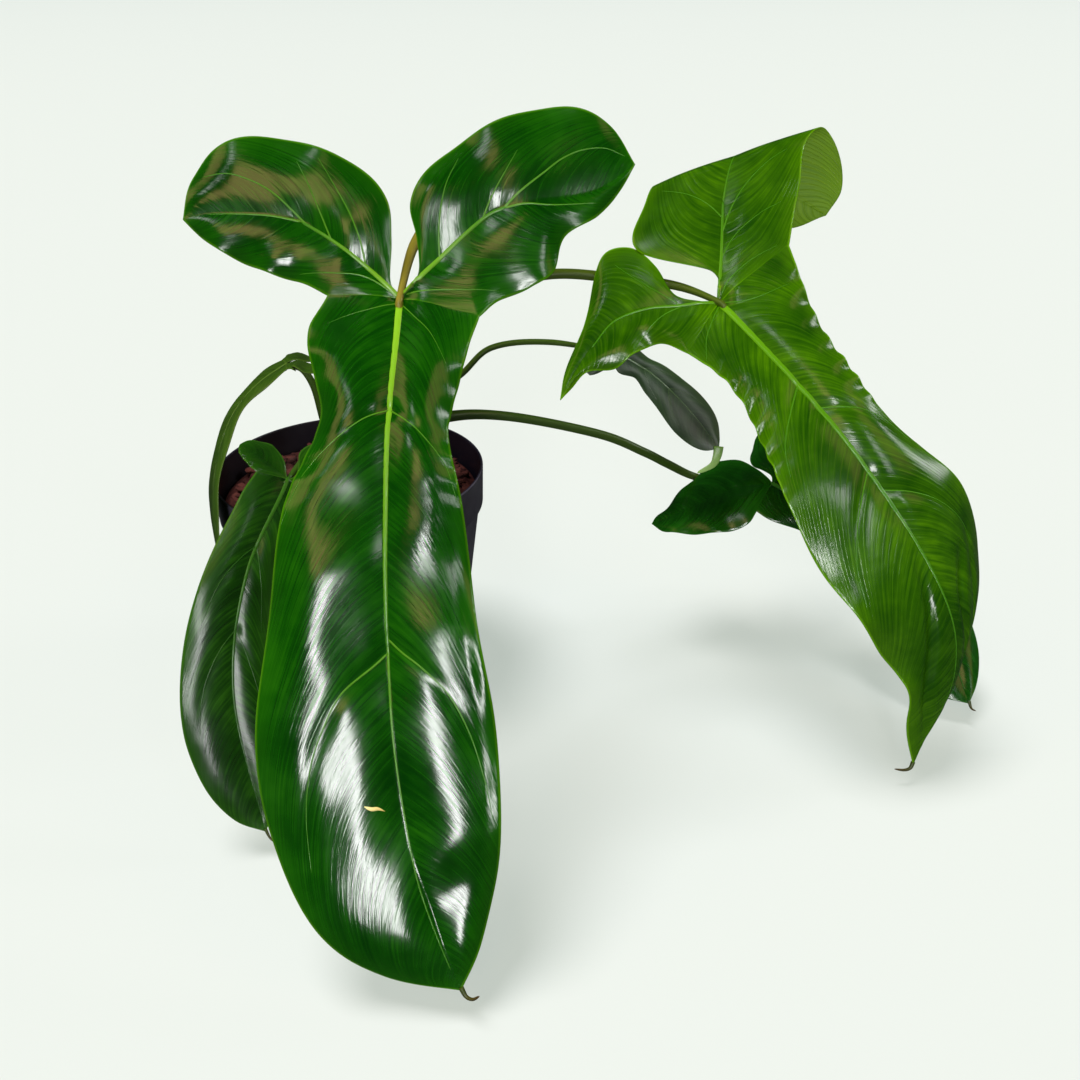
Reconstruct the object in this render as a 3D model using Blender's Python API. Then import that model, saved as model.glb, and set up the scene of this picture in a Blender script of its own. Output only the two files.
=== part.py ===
"""A potted fiddle-leaf philodendron: a nursery pot, its growing mix, a short stem and six leaves.

World units are metres, +Z is up and the origin is the middle of the pot's underside. Leaf outlines and
curves are listed in millimetres. Each leaf is drawn flat first, x across the blade and y from the
junction towards the ears, then carried onto a curved spine, crowned and waved, and given its thickness.
"""

import math
from dataclasses import dataclass

import bmesh
import bpy
import numpy as np

MM = 0.001

# Pot: a 15 cm round nursery pot
POT_HEIGHT = 135 * MM
RIM_RADIUS = 75 * MM
RIM_BAND_HEIGHT = 23 * MM
RIM_STEP = 2.6 * MM
RIM_DRAFT = 0.6 * MM
EDGE_ROUND = 0.8 * MM
FOOT_CHAMFER = 2 * MM
BASE_RADIUS = 58 * MM
POT_WALL = 1.6 * MM
POT_SIDES = 56
DRAIN_HOLES = 8
DRAIN_RADIUS = 5 * MM
DRAIN_CIRCLE = 42 * MM
DRAIN_SIDES = 16

# Growing mix
CLEARANCE = 0.3 * MM
MIX_LEVEL = 120 * MM
MIX_LUMP = 3.0 * MM
MIX_SINK = 1.5 * MM
CHIP_LENGTH = 27 * MM
CHIP_WIDTH = 32 * MM
CHIP_DRIFT = 50 * MM
MIX_SIDES = 44
MIX_RINGS = 13

# Stem
STEM_RADIUS = 8 * MM
STEM_TIP_RADIUS = 4.5 * MM
STEM_SIDES = 12
STEM_ROWS = 22
STEM_HOLE_DEPTH = 34 * MM
STEM_HOLE_GAP = 0.8 * MM
STEM_TIP_ROUND = 0.6
SCAR_HEIGHT = 0.9 * MM
SCAR_SPACING = 15 * MM
STEM_PATH = ((0, 0, 87), (0, 0, 105), (0.5, 0, 123), (6, 1, 150), (15, 2, 178), (25, 3, 206))

# Leaf outlines, flat, in millimetres for the two largest leaves: the junction of blade and petiole is
# (0, 0) and the tip is at the far end of -y. Lobe edges run from the notch beside the ear to the tip.
# An ear's outer edge runs from the same notch to the ear's tip, and its inner edge from the junction.
LOBE_LENGTH = 296
LEFT_LOBE = ((-30, 0), (-37, -20), (-29, -50), (-31, -64), (-41, -92), (-48, -137), (-55, -185),
             (-55, -218), (-46, -254), (-28, -281), (0, -LOBE_LENGTH))
RIGHT_LOBE = ((34, -8), (30, -22), (25, -50), (25, -64), (31, -92), (36, -137), (41, -182),
              (39, -222), (31, -252), (15, -279), (0, -LOBE_LENGTH))
LEFT_EAR_OUTER = ((-30, 0), (-42, 7), (-54, 11), (-68, 18), (-82, 28), (-90, 37))
LEFT_EAR_INNER = ((0, 0), (-4, 7), (-3, 24), (-4, 41), (-15, 55), (-37, 66), (-58, 70), (-76, 65),
                  (-86, 53), (-90, 37))
RIGHT_EAR_OUTER = ((34, -8), (42, -1), (55, 4), (65, 10), (70, 23), (84, 30), (95, 41), (101, 51))
RIGHT_EAR_INNER = ((0, 0), (8, 8), (8, 24), (6, 39), (14, 53), (33, 67), (55, 76), (75, 77), (92, 68),
                   (101, 51))

# The right leaf has a slim left ear and a broad right one, whose tip has rolled back.
BENT_LEFT_LOBE = ((-30, -12), (-27, -26), (-26, -41), (-28, -58), (-37, -88), (-43, -108), (-48, -147),
                  (-46, -176), (-40, -210), (-28, -248), (-14, -276), (0, -LOBE_LENGTH))
BENT_RIGHT_LOBE = ((45, -1), (38, -20), (31, -42), (27, -62), (26, -92), (34, -126), (44, -155),
                   (48, -190), (40, -228), (22, -264), (0, -LOBE_LENGTH))
SLIM_EAR_OUTER = ((-30, -12), (-37, 3), (-50, 7), (-62, 8), (-76, 16), (-95, 13))
SLIM_EAR_INNER = ((0, 0), (-8, 7), (-15, 19), (-12, 36), (-14, 53), (-25, 60), (-39, 54), (-60, 37),
                  (-80, 27), (-95, 13))
BROAD_EAR_OUTER = ((45, -1), (59, 11), (72, 21), (88, 35), (108, 44), (120, 58), (123, 74), (117, 88))
BROAD_EAR_INNER = ((0, 0), (7, 7), (8, 14), (4, 21), (-9, 40), (-13, 50), (-9, 58), (6, 67), (30, 82),
                   (62, 95), (97, 96), (117, 88))
ROUND_EAR_OUTER = ((-42, -8), (-53, -3), (-63, 5), (-70, 12), (-73, 20))
ROUND_EAR_INNER = ((0, 0), (-4, 5), (-11, 22), (-24, 39), (-36, 47), (-53, 47), (-65, 42), (-72, 32),
                   (-73, 20))
SMOOTH_LEFT_LOBE = ((-30, 0), (-38, -24), (-38, -48), (-40, -72), (-45, -100), (-50, -137), (-55, -185),
                    (-55, -218), (-46, -254), (-28, -281), (0, -LOBE_LENGTH))
SHARP_EAR_OUTER = ((-28, -4), (-42, -4), (-60, 6), (-76, 22), (-88, 40), (-90, 55))
SHARP_EAR_INNER = ((0, 0), (2, 8), (3, 22), (1, 41), (-10, 57), (-26, 61), (-46, 62), (-67, 59), (-82, 58),
                   (-90, 55))
FOLD_POINT = (88, 37)
FOLD_DIRECTION = (-0.921, 0.389)
FOLD_RADIUS = 8
FOLD_ANGLE = 2.5

# Blade
BLADE_THICKNESS = 0.9 * MM
HALF_WIDTH = 40 * MM
RIB_DEPTH = 1.6 * MM
RIB_WIDTH = 2.6 * MM
RIB_TAPER = 0.7
EAR_RIB_BOW = 0.75
CREASE_FADE = 0.12
EAR_FADE = 0.25
EAR_SWELL = 0.3
TIP_FADE = 0.15
PATH_SAMPLES = 12

# Petiole: the share of its length over which the thick base thins, and its last rings under the blade
PETIOLE_SIDES = 8
PETIOLE_ROWS = 26
PETIOLE_TAPER = 0.16
PETIOLE_END = (0.9, 0.75, 0.5)
PETIOLE_GRIP = (4.0, 12.0)


@dataclass
class Leaf:
    """One leaf: scales of the outline, the spine its blade follows and the petiole that carries it.

    The spine's first point lies over the ears and its second is the junction. across is the direction
    from the blade's left edge to its right one, at the junction and at the tip. bulge lifts each half
    between midrib and edge, droop lowers the edges, wave is the edge's ripple, all in millimetres.
    tilt is how far each half folds down along the midrib, in radians: the left one at the junction and
    at the tip, then the right one. petiole_radius holds the petiole's radius at the stem and at the blade.
    """

    name: str
    width: float
    ears: tuple
    spine: tuple
    across: tuple
    petiole: tuple
    petiole_radius: tuple
    rows: int = 22
    ear_rows: int = 12
    halves: int = 4
    bulge: float = 3.0
    droop: float = 4.0
    wave: float = 2.5
    ripples: float = 4.0
    tilt: tuple = (0.0, 0.0, 0.0, 0.0)
    folded: bool = False
    left_lobe: tuple = LEFT_LOBE
    right_lobe: tuple = RIGHT_LOBE
    left_ear: tuple = (LEFT_EAR_OUTER, LEFT_EAR_INNER)
    right_ear: tuple = (RIGHT_EAR_OUTER, RIGHT_EAR_INNER)


LEAVES = (
    Leaf("leaf_front", 1.0, (1.0, 1.0),
         ((46, -78, 312), (48, -105, 262), (45, -150, 212), (46, -196, 140), (54, -229, 78),
          (75, -254, 17)),
         ((1, 0, 0), (0.97, 0.1, 0.2)),
         ((17, -9, 181), (27, -8, 190), (52, -2, 222), (62, -12, 262), (60, -40, 281),
          (52, -74, 276), (48, -105, 262)),
         (4.5, 2.6)),
    Leaf("leaf_right", 1.0, (1.0, 1.0),
         ((166, 20, 262), (199, -10, 233), (254, -64, 183), (302, -97, 120), (318, -106, 70),
          (304, -112, 14)),
         ((0.72, 0.33, 0.6), (0.9, 0.4, 0.1)),
         ((32, 3, 196), (44, 4, 206), (72, 9, 228), (110, 13, 240), (150, 17, 237), (180, 9, 235),
          (199, -9, 232)),
         (4.5, 2.7), tilt=(0.0, 0.1, 0.0, 0.85), folded=True,
         left_lobe=BENT_LEFT_LOBE, right_lobe=BENT_RIGHT_LOBE,
         left_ear=(SLIM_EAR_OUTER, SLIM_EAR_INNER), right_ear=(BROAD_EAR_OUTER, BROAD_EAR_INNER)),
    Leaf("leaf_left", 0.44, (0.36, 0.38),
         ((-13, -54, 182), (-15, -80, 165), (-32, -113, 130), (-38, -140, 80), (-26, -162, 15)),
         ((0.85, 0.45, -0.15), (0.95, 0.3, 0.1)),
         ((3, -11, 146), (1, -20, 152), (-5, -45, 168), (-15, -80, 165)),
         (4.0, 2.0), rows=16, ear_rows=8, halves=3, wave=1.6, left_lobe=SMOOTH_LEFT_LOBE,
         left_ear=(ROUND_EAR_OUTER, ROUND_EAR_INNER)),
    Leaf("leaf_side", 0.34, (0.26, 0.26),
         ((-14, -8, 199), (-27, -10, 199), (-51, -28, 181), (-63, -46, 147), (-62, -58, 111),
          (-54, -64, 82)),
         ((0.42, -0.88, 0.2), (0.29, -0.9, 0.28)),
         ((-6, -2, 152), (-11, -3, 161), (-14, -6, 184), (-19, -8, 195), (-27, -10, 199)),
         (3.6, 2.0), rows=14, ear_rows=6, halves=3, wave=1.2),
    Leaf("leaf_back", 0.26, (0.22, 0.22),
         ((139, 53, 193), (154, 50, 184), (175, 44, 172), (196, 32, 154), (211, 20, 137)),
         ((0.5, 0.2, 0.8), (0.6, 0.3, 0.7)),
         ((19, 11, 169), (30, 14, 172), (60, 17, 181), (80, 28, 195), (113, 44, 193), (154, 50, 184)),
         (4.8, 1.7), rows=12, ear_rows=6, halves=3, wave=1.2),
    Leaf("leaf_low", 0.54, (0.72, 0.46),
         ((217, 72, 116), (247, 30, 110), (284, 12, 92), (321, -12, 62), (344, -38, 35), (352, -60, 14)),
         ((0.7, 0.35, 0.5), (0.75, 0.4, 0.4)),
         ((15, -4, 148), (26, -5, 154), (55, -1, 165), (90, 10, 161), (142, 27, 143), (170, 37, 127),
          (186, 51, 113), (206, 64, 98), (228, 52, 99), (247, 31, 109)),
         (4.4, 2.6), rows=16, ear_rows=9, halves=3, wave=2.0, left_ear=(SHARP_EAR_OUTER, SHARP_EAR_INNER)),
)


def clear_scene():
    for obj in list(bpy.data.objects):
        bpy.data.objects.remove(obj)


def material(name, colour, roughness):
    made = bpy.data.materials.new(name)
    made.use_nodes = True
    shader = made.node_tree.nodes["Principled BSDF"]
    shader.inputs["Base Color"].default_value = (*colour, 1)
    shader.inputs["Roughness"].default_value = roughness
    shader.inputs["Metallic"].default_value = 0
    return made


def mesh_object(name, vertices, faces, surface):
    mesh = bpy.data.meshes.new(name)
    mesh.from_pydata([tuple(v) for v in vertices], [], [tuple(f) for f in faces])
    mesh.materials.append(surface)
    mesh.validate()
    mesh.shade_smooth()
    obj = bpy.data.objects.new(name, mesh)
    bpy.context.scene.collection.objects.link(obj)
    return obj


def combine(obj, other, operation):
    """Applies a Boolean of other to obj and removes other."""
    modifier = obj.modifiers.new(operation.title(), "BOOLEAN")
    modifier.operation = operation
    modifier.object = other
    graph = bpy.context.evaluated_depsgraph_get()
    result = bpy.data.meshes.new_from_object(obj.evaluated_get(graph))
    obj.modifiers.clear()
    obj.data = result
    bpy.data.objects.remove(other)


def unit(vectors):
    return vectors / np.linalg.norm(vectors, axis=-1, keepdims=True)


def arc_lengths(points):
    steps = np.linalg.norm(np.diff(points, axis=0), axis=1)
    return np.concatenate([[0], np.cumsum(steps)])


def at_distances(points, distances):
    """Points on a polyline at distances along it."""
    total = arc_lengths(points)
    return np.stack([np.interp(distances, total, column) for column in points.T], axis=1)


def smooth_path(points):
    """A Catmull-Rom curve through the points, with PATH_SAMPLES steps between each two."""
    points = np.asarray(points, float)
    ends = 2 * points[[0, -1]] - points[[1, -2]]
    padded = np.vstack([ends[:1], points, ends[1:]])
    t = np.linspace(0, 1, PATH_SAMPLES, endpoint=False)[:, None]
    pieces = []
    for a, b, c, d in zip(padded, padded[1:], padded[2:], padded[3:]):
        pieces.append(0.5 * (2 * b + (c - a) * t + (2 * a - 5 * b + 4 * c - d) * t**2
                             + (3 * b - a - 3 * c + d) * t**3))
    return np.vstack(pieces + [points[-1:]])


def even_path(points, count):
    """count points equally spaced along the smooth curve through the points."""
    path = smooth_path(points)
    return at_distances(path, np.linspace(0, arc_lengths(path)[-1], count))


def skin_rings(rings):
    """Vertices and faces of a closed skin over a stack of rings, each end closed round a centre point."""
    count, sides = rings.shape[:2]
    vertices = np.vstack([rings.reshape(-1, 3), rings[0].mean(axis=0), rings[-1].mean(axis=0)])
    faces = []
    for row in range(count - 1):
        for side in range(sides):
            a = row * sides + side
            b = row * sides + (side + 1) % sides
            faces.append((a, b, b + sides, a + sides))
    first, last = count * sides, count * sides + 1
    base = (count - 1) * sides
    for side in range(sides):
        following = (side + 1) % sides
        faces.append((first, following, side))
        faces.append((last, base + side, base + following))
    return vertices, faces


def tube_rings(path, radii, sides):
    """Round rings along a path, their sides kept in line with the plane nearest to the whole path."""
    tangents = unit(np.gradient(path, axis=0))
    flat_normal = np.linalg.svd(path - path.mean(axis=0))[2][2]
    side = unit(np.cross(tangents, flat_normal))
    other = np.cross(tangents, side)
    angles = np.linspace(0, 2 * math.pi, sides, endpoint=False)
    spread = np.cos(angles)[:, None] * side[:, None] + np.sin(angles)[:, None] * other[:, None]
    return path[:, None] + spread * radii[:, None, None]


def wall_radius(height):
    """The pot's outer radius under the rim band, at a height."""
    top = RIM_RADIUS - RIM_STEP
    return BASE_RADIUS + (top - BASE_RADIUS) * height / (POT_HEIGHT - RIM_BAND_HEIGHT)


def build_pot(surface):
    """Turned wall, floor and rim band, then the drain holes round the floor."""
    band_foot = POT_HEIGHT - RIM_BAND_HEIGHT
    inner_rim = RIM_RADIUS - POT_WALL
    profile = (
        (0, 0),
        (BASE_RADIUS - FOOT_CHAMFER, 0),
        (BASE_RADIUS, FOOT_CHAMFER),
        (RIM_RADIUS - RIM_STEP, band_foot),
        (RIM_RADIUS - RIM_DRAFT, band_foot + EDGE_ROUND),
        (RIM_RADIUS, POT_HEIGHT - EDGE_ROUND),
        (RIM_RADIUS - EDGE_ROUND, POT_HEIGHT),
        (inner_rim, POT_HEIGHT - EDGE_ROUND / 2),
        (inner_rim - RIM_DRAFT, band_foot + RIM_STEP),
        (wall_radius(band_foot) - POT_WALL, band_foot - RIM_STEP),
        (wall_radius(POT_WALL) - POT_WALL, POT_WALL),
        (0, POT_WALL),
    )
    mesh = bmesh.new()
    points = [mesh.verts.new((radius, 0, height)) for radius, height in profile]
    edges = [mesh.edges.new(pair) for pair in zip(points, points[1:])]
    bmesh.ops.spin(mesh, geom=points + edges, cent=(0, 0, 0), axis=(0, 0, 1), angle=2 * math.pi,
                   steps=POT_SIDES, use_duplicate=False)
    bmesh.ops.remove_doubles(mesh, verts=mesh.verts, dist=0.00005)
    bmesh.ops.recalc_face_normals(mesh, faces=mesh.faces)
    pot = mesh_object("pot", [], [], surface)
    mesh.to_mesh(pot.data)
    mesh.free()
    pot.data.shade_smooth()

    cutter = bmesh.new()
    for index in range(DRAIN_HOLES):
        angle = 2 * math.pi * (index + 0.5) / DRAIN_HOLES
        made = bmesh.ops.create_cone(cutter, segments=DRAIN_SIDES, radius1=DRAIN_RADIUS,
                                     radius2=DRAIN_RADIUS, depth=8 * POT_WALL, cap_ends=True)
        place = (DRAIN_CIRCLE * math.cos(angle), DRAIN_CIRCLE * math.sin(angle), 0)
        bmesh.ops.translate(cutter, verts=made["verts"], vec=place)
    holes = mesh_object("drain_holes", [], [], surface)
    cutter.to_mesh(holes.data)
    cutter.free()
    combine(pot, holes, "DIFFERENCE")
    pot.data.shade_smooth()
    pot.data.set_sharp_from_angle(angle=math.radians(40))


def mix_relief(x, y):
    """Height of the bark over the level of the mix: two crossed ripples, each bent by a slower one."""
    turn = 2 * math.pi
    long_way = np.sin(turn * x / CHIP_LENGTH + 1.7 * np.sin(turn * y / CHIP_DRIFT))
    short_way = np.sin(turn * y / CHIP_WIDTH + 1.9 * np.sin(turn * x / CHIP_DRIFT + 1.0))
    return MIX_LUMP / 2 * long_way * short_way


def build_growing_mix(surface):
    """The lumpy top, the tapered side against the pot and a plain round hole that the stem stands in."""
    inner = STEM_RADIUS + STEM_HOLE_GAP
    fit = POT_WALL / math.cos(math.pi / POT_SIDES) + 2 * CLEARANCE
    outer = wall_radius(MIX_LEVEL - RIM_STEP) - fit
    bottom = POT_WALL + CLEARANCE
    angles = np.linspace(0, 2 * math.pi, MIX_SIDES, endpoint=False)

    def ring(radius, height):
        return np.stack([radius * np.cos(angles), radius * np.sin(angles), height + 0 * angles], axis=1)

    edge_level = POT_HEIGHT - RIM_BAND_HEIGHT - RIM_STEP - CLEARANCE
    levels = (bottom, (bottom + edge_level) / 2, edge_level)
    rings = [ring(wall_radius(level) - fit, level) for level in levels]
    for share in np.linspace(1, 0, MIX_RINGS):
        radius = inner + (outer - inner) * share
        top = ring(radius, MIX_LEVEL)
        from_wall, from_stem = (1 - share) * MIX_RINGS, share * MIX_RINGS / 3
        fade = smooth_step(min(from_wall, from_stem))
        top[:, 2] += fade * mix_relief(top[:, 0], top[:, 1]) - (1 - fade) * MIX_SINK
        rings.append(top)
    rings.append(ring(inner, MIX_LEVEL - STEM_HOLE_DEPTH))
    mesh_object("growing_mix", *skin_rings(np.array(rings)), surface)


def build_stem(surface):
    """A short leaning stem with rings of old leaf scars, rounded off at its growing tip."""
    path = even_path(np.array(STEM_PATH) * MM, STEM_ROWS)
    distance = arc_lengths(path)
    share = distance / distance[-1]
    radii = STEM_RADIUS + (STEM_TIP_RADIUS - STEM_RADIUS) * share**2
    above_mix = np.clip((path[:, 2] - MIX_LEVEL) / SCAR_SPACING, 0, 1)
    radii += SCAR_HEIGHT * above_mix * (np.cos(2 * math.pi * distance / SCAR_SPACING) - 1) / 2
    radii[-1] *= STEM_TIP_ROUND
    mesh_object("stem", *skin_rings(tube_rings(path, radii, STEM_SIDES)), surface)


def strip(edge, rib, other, halves):
    """Flat points from an edge over a rib to the other edge, in halves steps on each side of the rib."""
    share = np.linspace(0, 1, halves + 1)[None, :, None]
    first = edge[:, None] + (rib - edge)[:, None] * share
    second = rib[:, None] + (other - rib)[:, None] * share
    return np.concatenate([first, second[:, 1:]], axis=1)


def grid_faces(rows, columns, start):
    """Triangles of a grid, with the diagonals of its two halves leaning towards the rib's far end."""
    faces = []
    for row in range(rows - 1):
        for column in range(columns - 1):
            a = start + row * columns + column
            b, c, d = a + 1, a + columns + 1, a + columns
            faces += [(a, b, c), (a, c, d)] if column < columns // 2 else [(a, b, d), (b, c, d)]
    return faces


def ear_patch(leaf, outer, inner, direction):
    """The ear as a strip from the junction to its tip, its first rows sharing the crease with the lobe."""
    notch = outer[0]
    crease = np.linspace(0, 1, leaf.halves + 1)[:, None] * notch
    free_rows = leaf.ear_rows + 1
    outer_edge = np.vstack([crease[:-1], even_path(outer, free_rows)])
    inner_edge = even_path(inner, len(outer_edge))
    tip = outer[-1]
    middle = (outer_edge + inner_edge) / 2
    straight = np.linspace(0, 1, len(outer_edge))[:, None] * tip
    rib = EAR_RIB_BOW * middle + (1 - EAR_RIB_BOW) * straight
    edges = (outer_edge, inner_edge) if direction < 0 else (inner_edge, outer_edge)
    return strip(edges[0], rib, edges[1], leaf.halves)


def flat_leaf(leaf):
    """Flat points, how far each lies along and across its own lobe or ear, and triangles, all welded."""
    stretch = np.array([leaf.width, lobe_stretch(leaf)])
    left_outer, left_inner = (np.array(edge) * leaf.ears[0] for edge in leaf.left_ear)
    right_outer, right_inner = (np.array(edge) * leaf.ears[1] for edge in leaf.right_ear)
    left = np.vstack([left_outer[0], np.array(leaf.left_lobe[1:]) * stretch])
    right = np.vstack([right_outer[0], np.array(leaf.right_lobe[1:]) * stretch])
    midrib = np.linspace((0, 0), left[-1], leaf.rows + 1)
    patches = [
        strip(even_path(left, leaf.rows + 1), midrib, even_path(right, leaf.rows + 1), leaf.halves),
        ear_patch(leaf, left_outer, left_inner, -1),
        ear_patch(leaf, right_outer, right_inner, 1),
    ]
    points, places, faces = [], [], []
    for number, patch in enumerate(patches):
        rows, columns = patch.shape[:2]
        start = sum(len(p) for p in points)
        along, across = np.meshgrid(np.linspace(0, 1, rows), np.linspace(-1, 1, columns), indexing="ij")
        crease_share = 0 if number == 0 else leaf.halves / (rows - 1)
        points.append(patch.reshape(-1, 2))
        places.append(np.stack([along.ravel(), across.ravel(), np.full(along.size, crease_share)], axis=1))
        faces += [f[::-1] if number == 0 else f for f in grid_faces(rows, columns, start)]
    points, places, faces = np.vstack(points), np.vstack(places), np.array(faces)
    _, first, index = np.unique(np.round(points, 3), axis=0, return_index=True, return_inverse=True)
    faces = index.reshape(-1)[faces]
    spread = (faces[:, 0] != faces[:, 1]) & (faces[:, 1] != faces[:, 2]) & (faces[:, 0] != faces[:, 2])
    return points[first], places[first], faces[spread]


def lobe_stretch(leaf):
    """How much longer or shorter than the largest leaf's lobe this one's spine is."""
    path = smooth_path(leaf.spine)
    beyond_junction = path[PATH_SAMPLES:]
    return arc_lengths(beyond_junction)[-1] / LOBE_LENGTH


def smooth_step(value):
    value = np.clip(value, 0, 1)
    return value * value * (3 - 2 * value)


def relief(leaf, places):
    """Height over the spine in millimetres: bulging halves, drooping rippled edges and a flat crease."""
    along, across, crease = places.T
    is_lobe = crease == 0
    size = np.where(is_lobe, leaf.width, 0.7 * leaf.ears[0])
    fade = np.where(is_lobe, smooth_step(along / CREASE_FADE), smooth_step((along - crease) / EAR_FADE))
    end = smooth_step((1 - along) / TIP_FADE)
    full = np.where(is_lobe, fade, smooth_step(along / EAR_SWELL))
    swell = full * np.sin(math.pi * np.abs(across)) * end
    edge = fade * np.abs(across) ** 3 * end
    phase = np.where(across < 0, 0.0, 1.9)
    ripple = np.sin(2 * math.pi * leaf.ripples * along + phase)
    sag = fade * across**2 * end
    return size * (leaf.bulge * swell - leaf.droop * sag + leaf.wave * edge * ripple)


def fold_back(points, heights):
    """Rolls what lies beyond the fold line backwards under the ear, round a small radius."""
    direction = np.array(FOLD_DIRECTION)
    normal = np.array([direction[1], -direction[0]])
    if normal[1] < 0:
        normal = -normal
    beyond = (points - np.array(FOLD_POINT)) @ normal
    turned = (beyond > 0) & (points[:, 0] > 0) & (points[:, 1] > 0)
    angle = np.minimum(beyond / FOLD_RADIUS, FOLD_ANGLE)
    rest = np.maximum(beyond - FOLD_RADIUS * FOLD_ANGLE, 0)
    reach = FOLD_RADIUS * np.sin(angle) + rest * math.cos(FOLD_ANGLE)
    depth = FOLD_RADIUS * (1 - np.cos(angle)) + rest * math.sin(FOLD_ANGLE)
    moved = points + (reach - beyond)[:, None] * normal
    return np.where(turned[:, None], moved, points), np.where(turned, heights - depth, heights)


def carry_to_spine(leaf, points, heights):
    """The flat points set on the spine, in metres: y along it, x across it and the height off it."""
    path = smooth_path(leaf.spine)
    distance = arc_lengths(path) - arc_lengths(path)[PATH_SAMPLES]
    tangents = unit(np.gradient(path, axis=0))
    share = np.clip(distance / distance[-1], 0, 1)[:, None]
    across = (1 - share) * unit(np.array(leaf.across[0])) + share * unit(np.array(leaf.across[1]))
    across = unit(across - (across * tangents).sum(axis=1, keepdims=True) * tangents)
    upper = np.cross(tangents, across)

    def at(values):
        return np.stack([np.interp(-points[:, 1], distance, column) for column in values.T], axis=1)

    beyond_ears = np.minimum(-points[:, 1] - distance[0], 0)[:, None] * tangents[0]
    left_start, left_end, right_start, right_end = leaf.tilt
    down_lobe = smooth_step(-points[:, 1] / distance[-1]) ** 2
    tilt = np.where(points[:, 0] < 0, left_start + (left_end - left_start) * down_lobe,
                    right_start + (right_end - right_start) * down_lobe)
    sideways = points[:, 0] * np.cos(tilt)
    lift = heights - np.abs(points[:, 0]) * np.sin(tilt)
    offset = sideways[:, None] * unit(at(across)) + lift[:, None] * unit(at(upper))
    return (at(path) + beyond_ears + offset) * MM


def vertex_normals(points, faces):
    corners = points[faces]
    face_normals = np.cross(corners[:, 1] - corners[:, 0], corners[:, 2] - corners[:, 0])
    normals = np.zeros_like(points)
    for corner in range(3):
        np.add.at(normals, faces[:, corner], face_normals)
    return unit(normals)


def border_edges(faces):
    """The directed edges that only one triangle uses."""
    edges = np.concatenate([faces[:, [0, 1]], faces[:, [1, 2]], faces[:, [2, 0]]])
    known = {tuple(edge) for edge in edges}
    return [edge for edge in edges if (edge[1], edge[0]) not in known]


def build_petiole(leaf, surface):
    """The leaf's stalk, from its sheath on the stem to a short way along the underside of the rib."""
    beyond_junction = smooth_path(leaf.spine)[PATH_SAMPLES:]
    under = at_distances(beyond_junction, np.array(PETIOLE_GRIP) * leaf.width)
    path = even_path(np.vstack([np.array(leaf.petiole, float), under]) * MM, PETIOLE_ROWS)
    at_stem, at_blade = leaf.petiole_radius
    share = np.linspace(0, 1, len(path))
    radii = MM * (at_blade + (at_stem - at_blade) * np.exp(-((share / PETIOLE_TAPER) ** 2)))
    radii[-len(PETIOLE_END):] *= np.array(PETIOLE_END)
    rings = tube_rings(path, radii, PETIOLE_SIDES)
    return mesh_object(leaf.name + "_petiole", *skin_rings(rings), surface)


def build_leaf(leaf, surface):
    """The blade with its rib underneath, closed by a thin edge, and joined to its petiole."""
    points, places, faces = flat_leaf(leaf)
    heights = relief(leaf, places)
    if leaf.folded:
        points, heights = fold_back(points, heights)
    middle = carry_to_spine(leaf, points, heights)
    normals = vertex_normals(middle, faces)
    along, across, _ = places.T
    from_rib = across * HALF_WIDTH * leaf.width / RIB_WIDTH
    rib = RIB_DEPTH * leaf.width**0.5 * np.exp(-(from_rib**2)) * (1 - RIB_TAPER * along)
    top = middle + normals * BLADE_THICKNESS / 2
    bottom = middle - normals * (BLADE_THICKNESS / 2 + rib)[:, None]
    count = len(points)
    closed = [tuple(f) for f in faces]
    closed += [tuple(f[::-1] + count) for f in faces]
    for a, b in border_edges(faces):
        closed += [(b, a, a + count), (b, a + count, b + count)]
    blade = mesh_object(leaf.name, np.vstack([top, bottom]), closed, surface)
    combine(blade, build_petiole(leaf, surface), "UNION")
    blade.data.shade_smooth()


def main():
    clear_scene()
    build_pot(material("black_polypropylene", (0.02, 0.02, 0.026), 0.45))
    build_growing_mix(material("bark_and_coir", (0.07, 0.035, 0.025), 0.9))
    build_stem(material("green_bark", (0.1, 0.12, 0.03), 0.6))
    blade = material("glossy_leaf", (0.02, 0.12, 0.01), 0.25)
    for leaf in LEAVES:
        build_leaf(leaf, blade)


main()
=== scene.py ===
# %% [markdown]
# # A potted fiddle-leaf philodendron
# The plant is a young climber with six glossy leaves on long petioles, in a black nursery pot. The packed
# CAD model gives every piece its place and size. Each node is stood for here by a finer piece of the same
# form: blades with veins and a thin rounded margin, petioles that thicken into a sheath, a stem with leaf
# scars, loose bark and a moulded pot. World units are metres, and lists of blade points are in millimetres.

import math
from dataclasses import dataclass

import bpy
import numpy as np
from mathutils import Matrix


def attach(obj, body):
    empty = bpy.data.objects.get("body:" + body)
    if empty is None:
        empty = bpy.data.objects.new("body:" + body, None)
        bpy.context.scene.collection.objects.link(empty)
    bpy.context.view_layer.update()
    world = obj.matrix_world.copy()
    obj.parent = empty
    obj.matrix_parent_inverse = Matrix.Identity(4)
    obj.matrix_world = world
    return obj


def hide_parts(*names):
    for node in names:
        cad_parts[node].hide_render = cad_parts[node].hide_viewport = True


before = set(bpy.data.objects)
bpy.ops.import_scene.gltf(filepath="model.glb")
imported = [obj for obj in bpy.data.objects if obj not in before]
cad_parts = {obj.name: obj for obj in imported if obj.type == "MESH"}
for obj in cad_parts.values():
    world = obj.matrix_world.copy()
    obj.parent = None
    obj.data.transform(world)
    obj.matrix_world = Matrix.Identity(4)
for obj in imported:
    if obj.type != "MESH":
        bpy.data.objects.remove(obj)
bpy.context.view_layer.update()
MM = 0.001
print("CAD nodes:", sorted(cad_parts))

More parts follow.
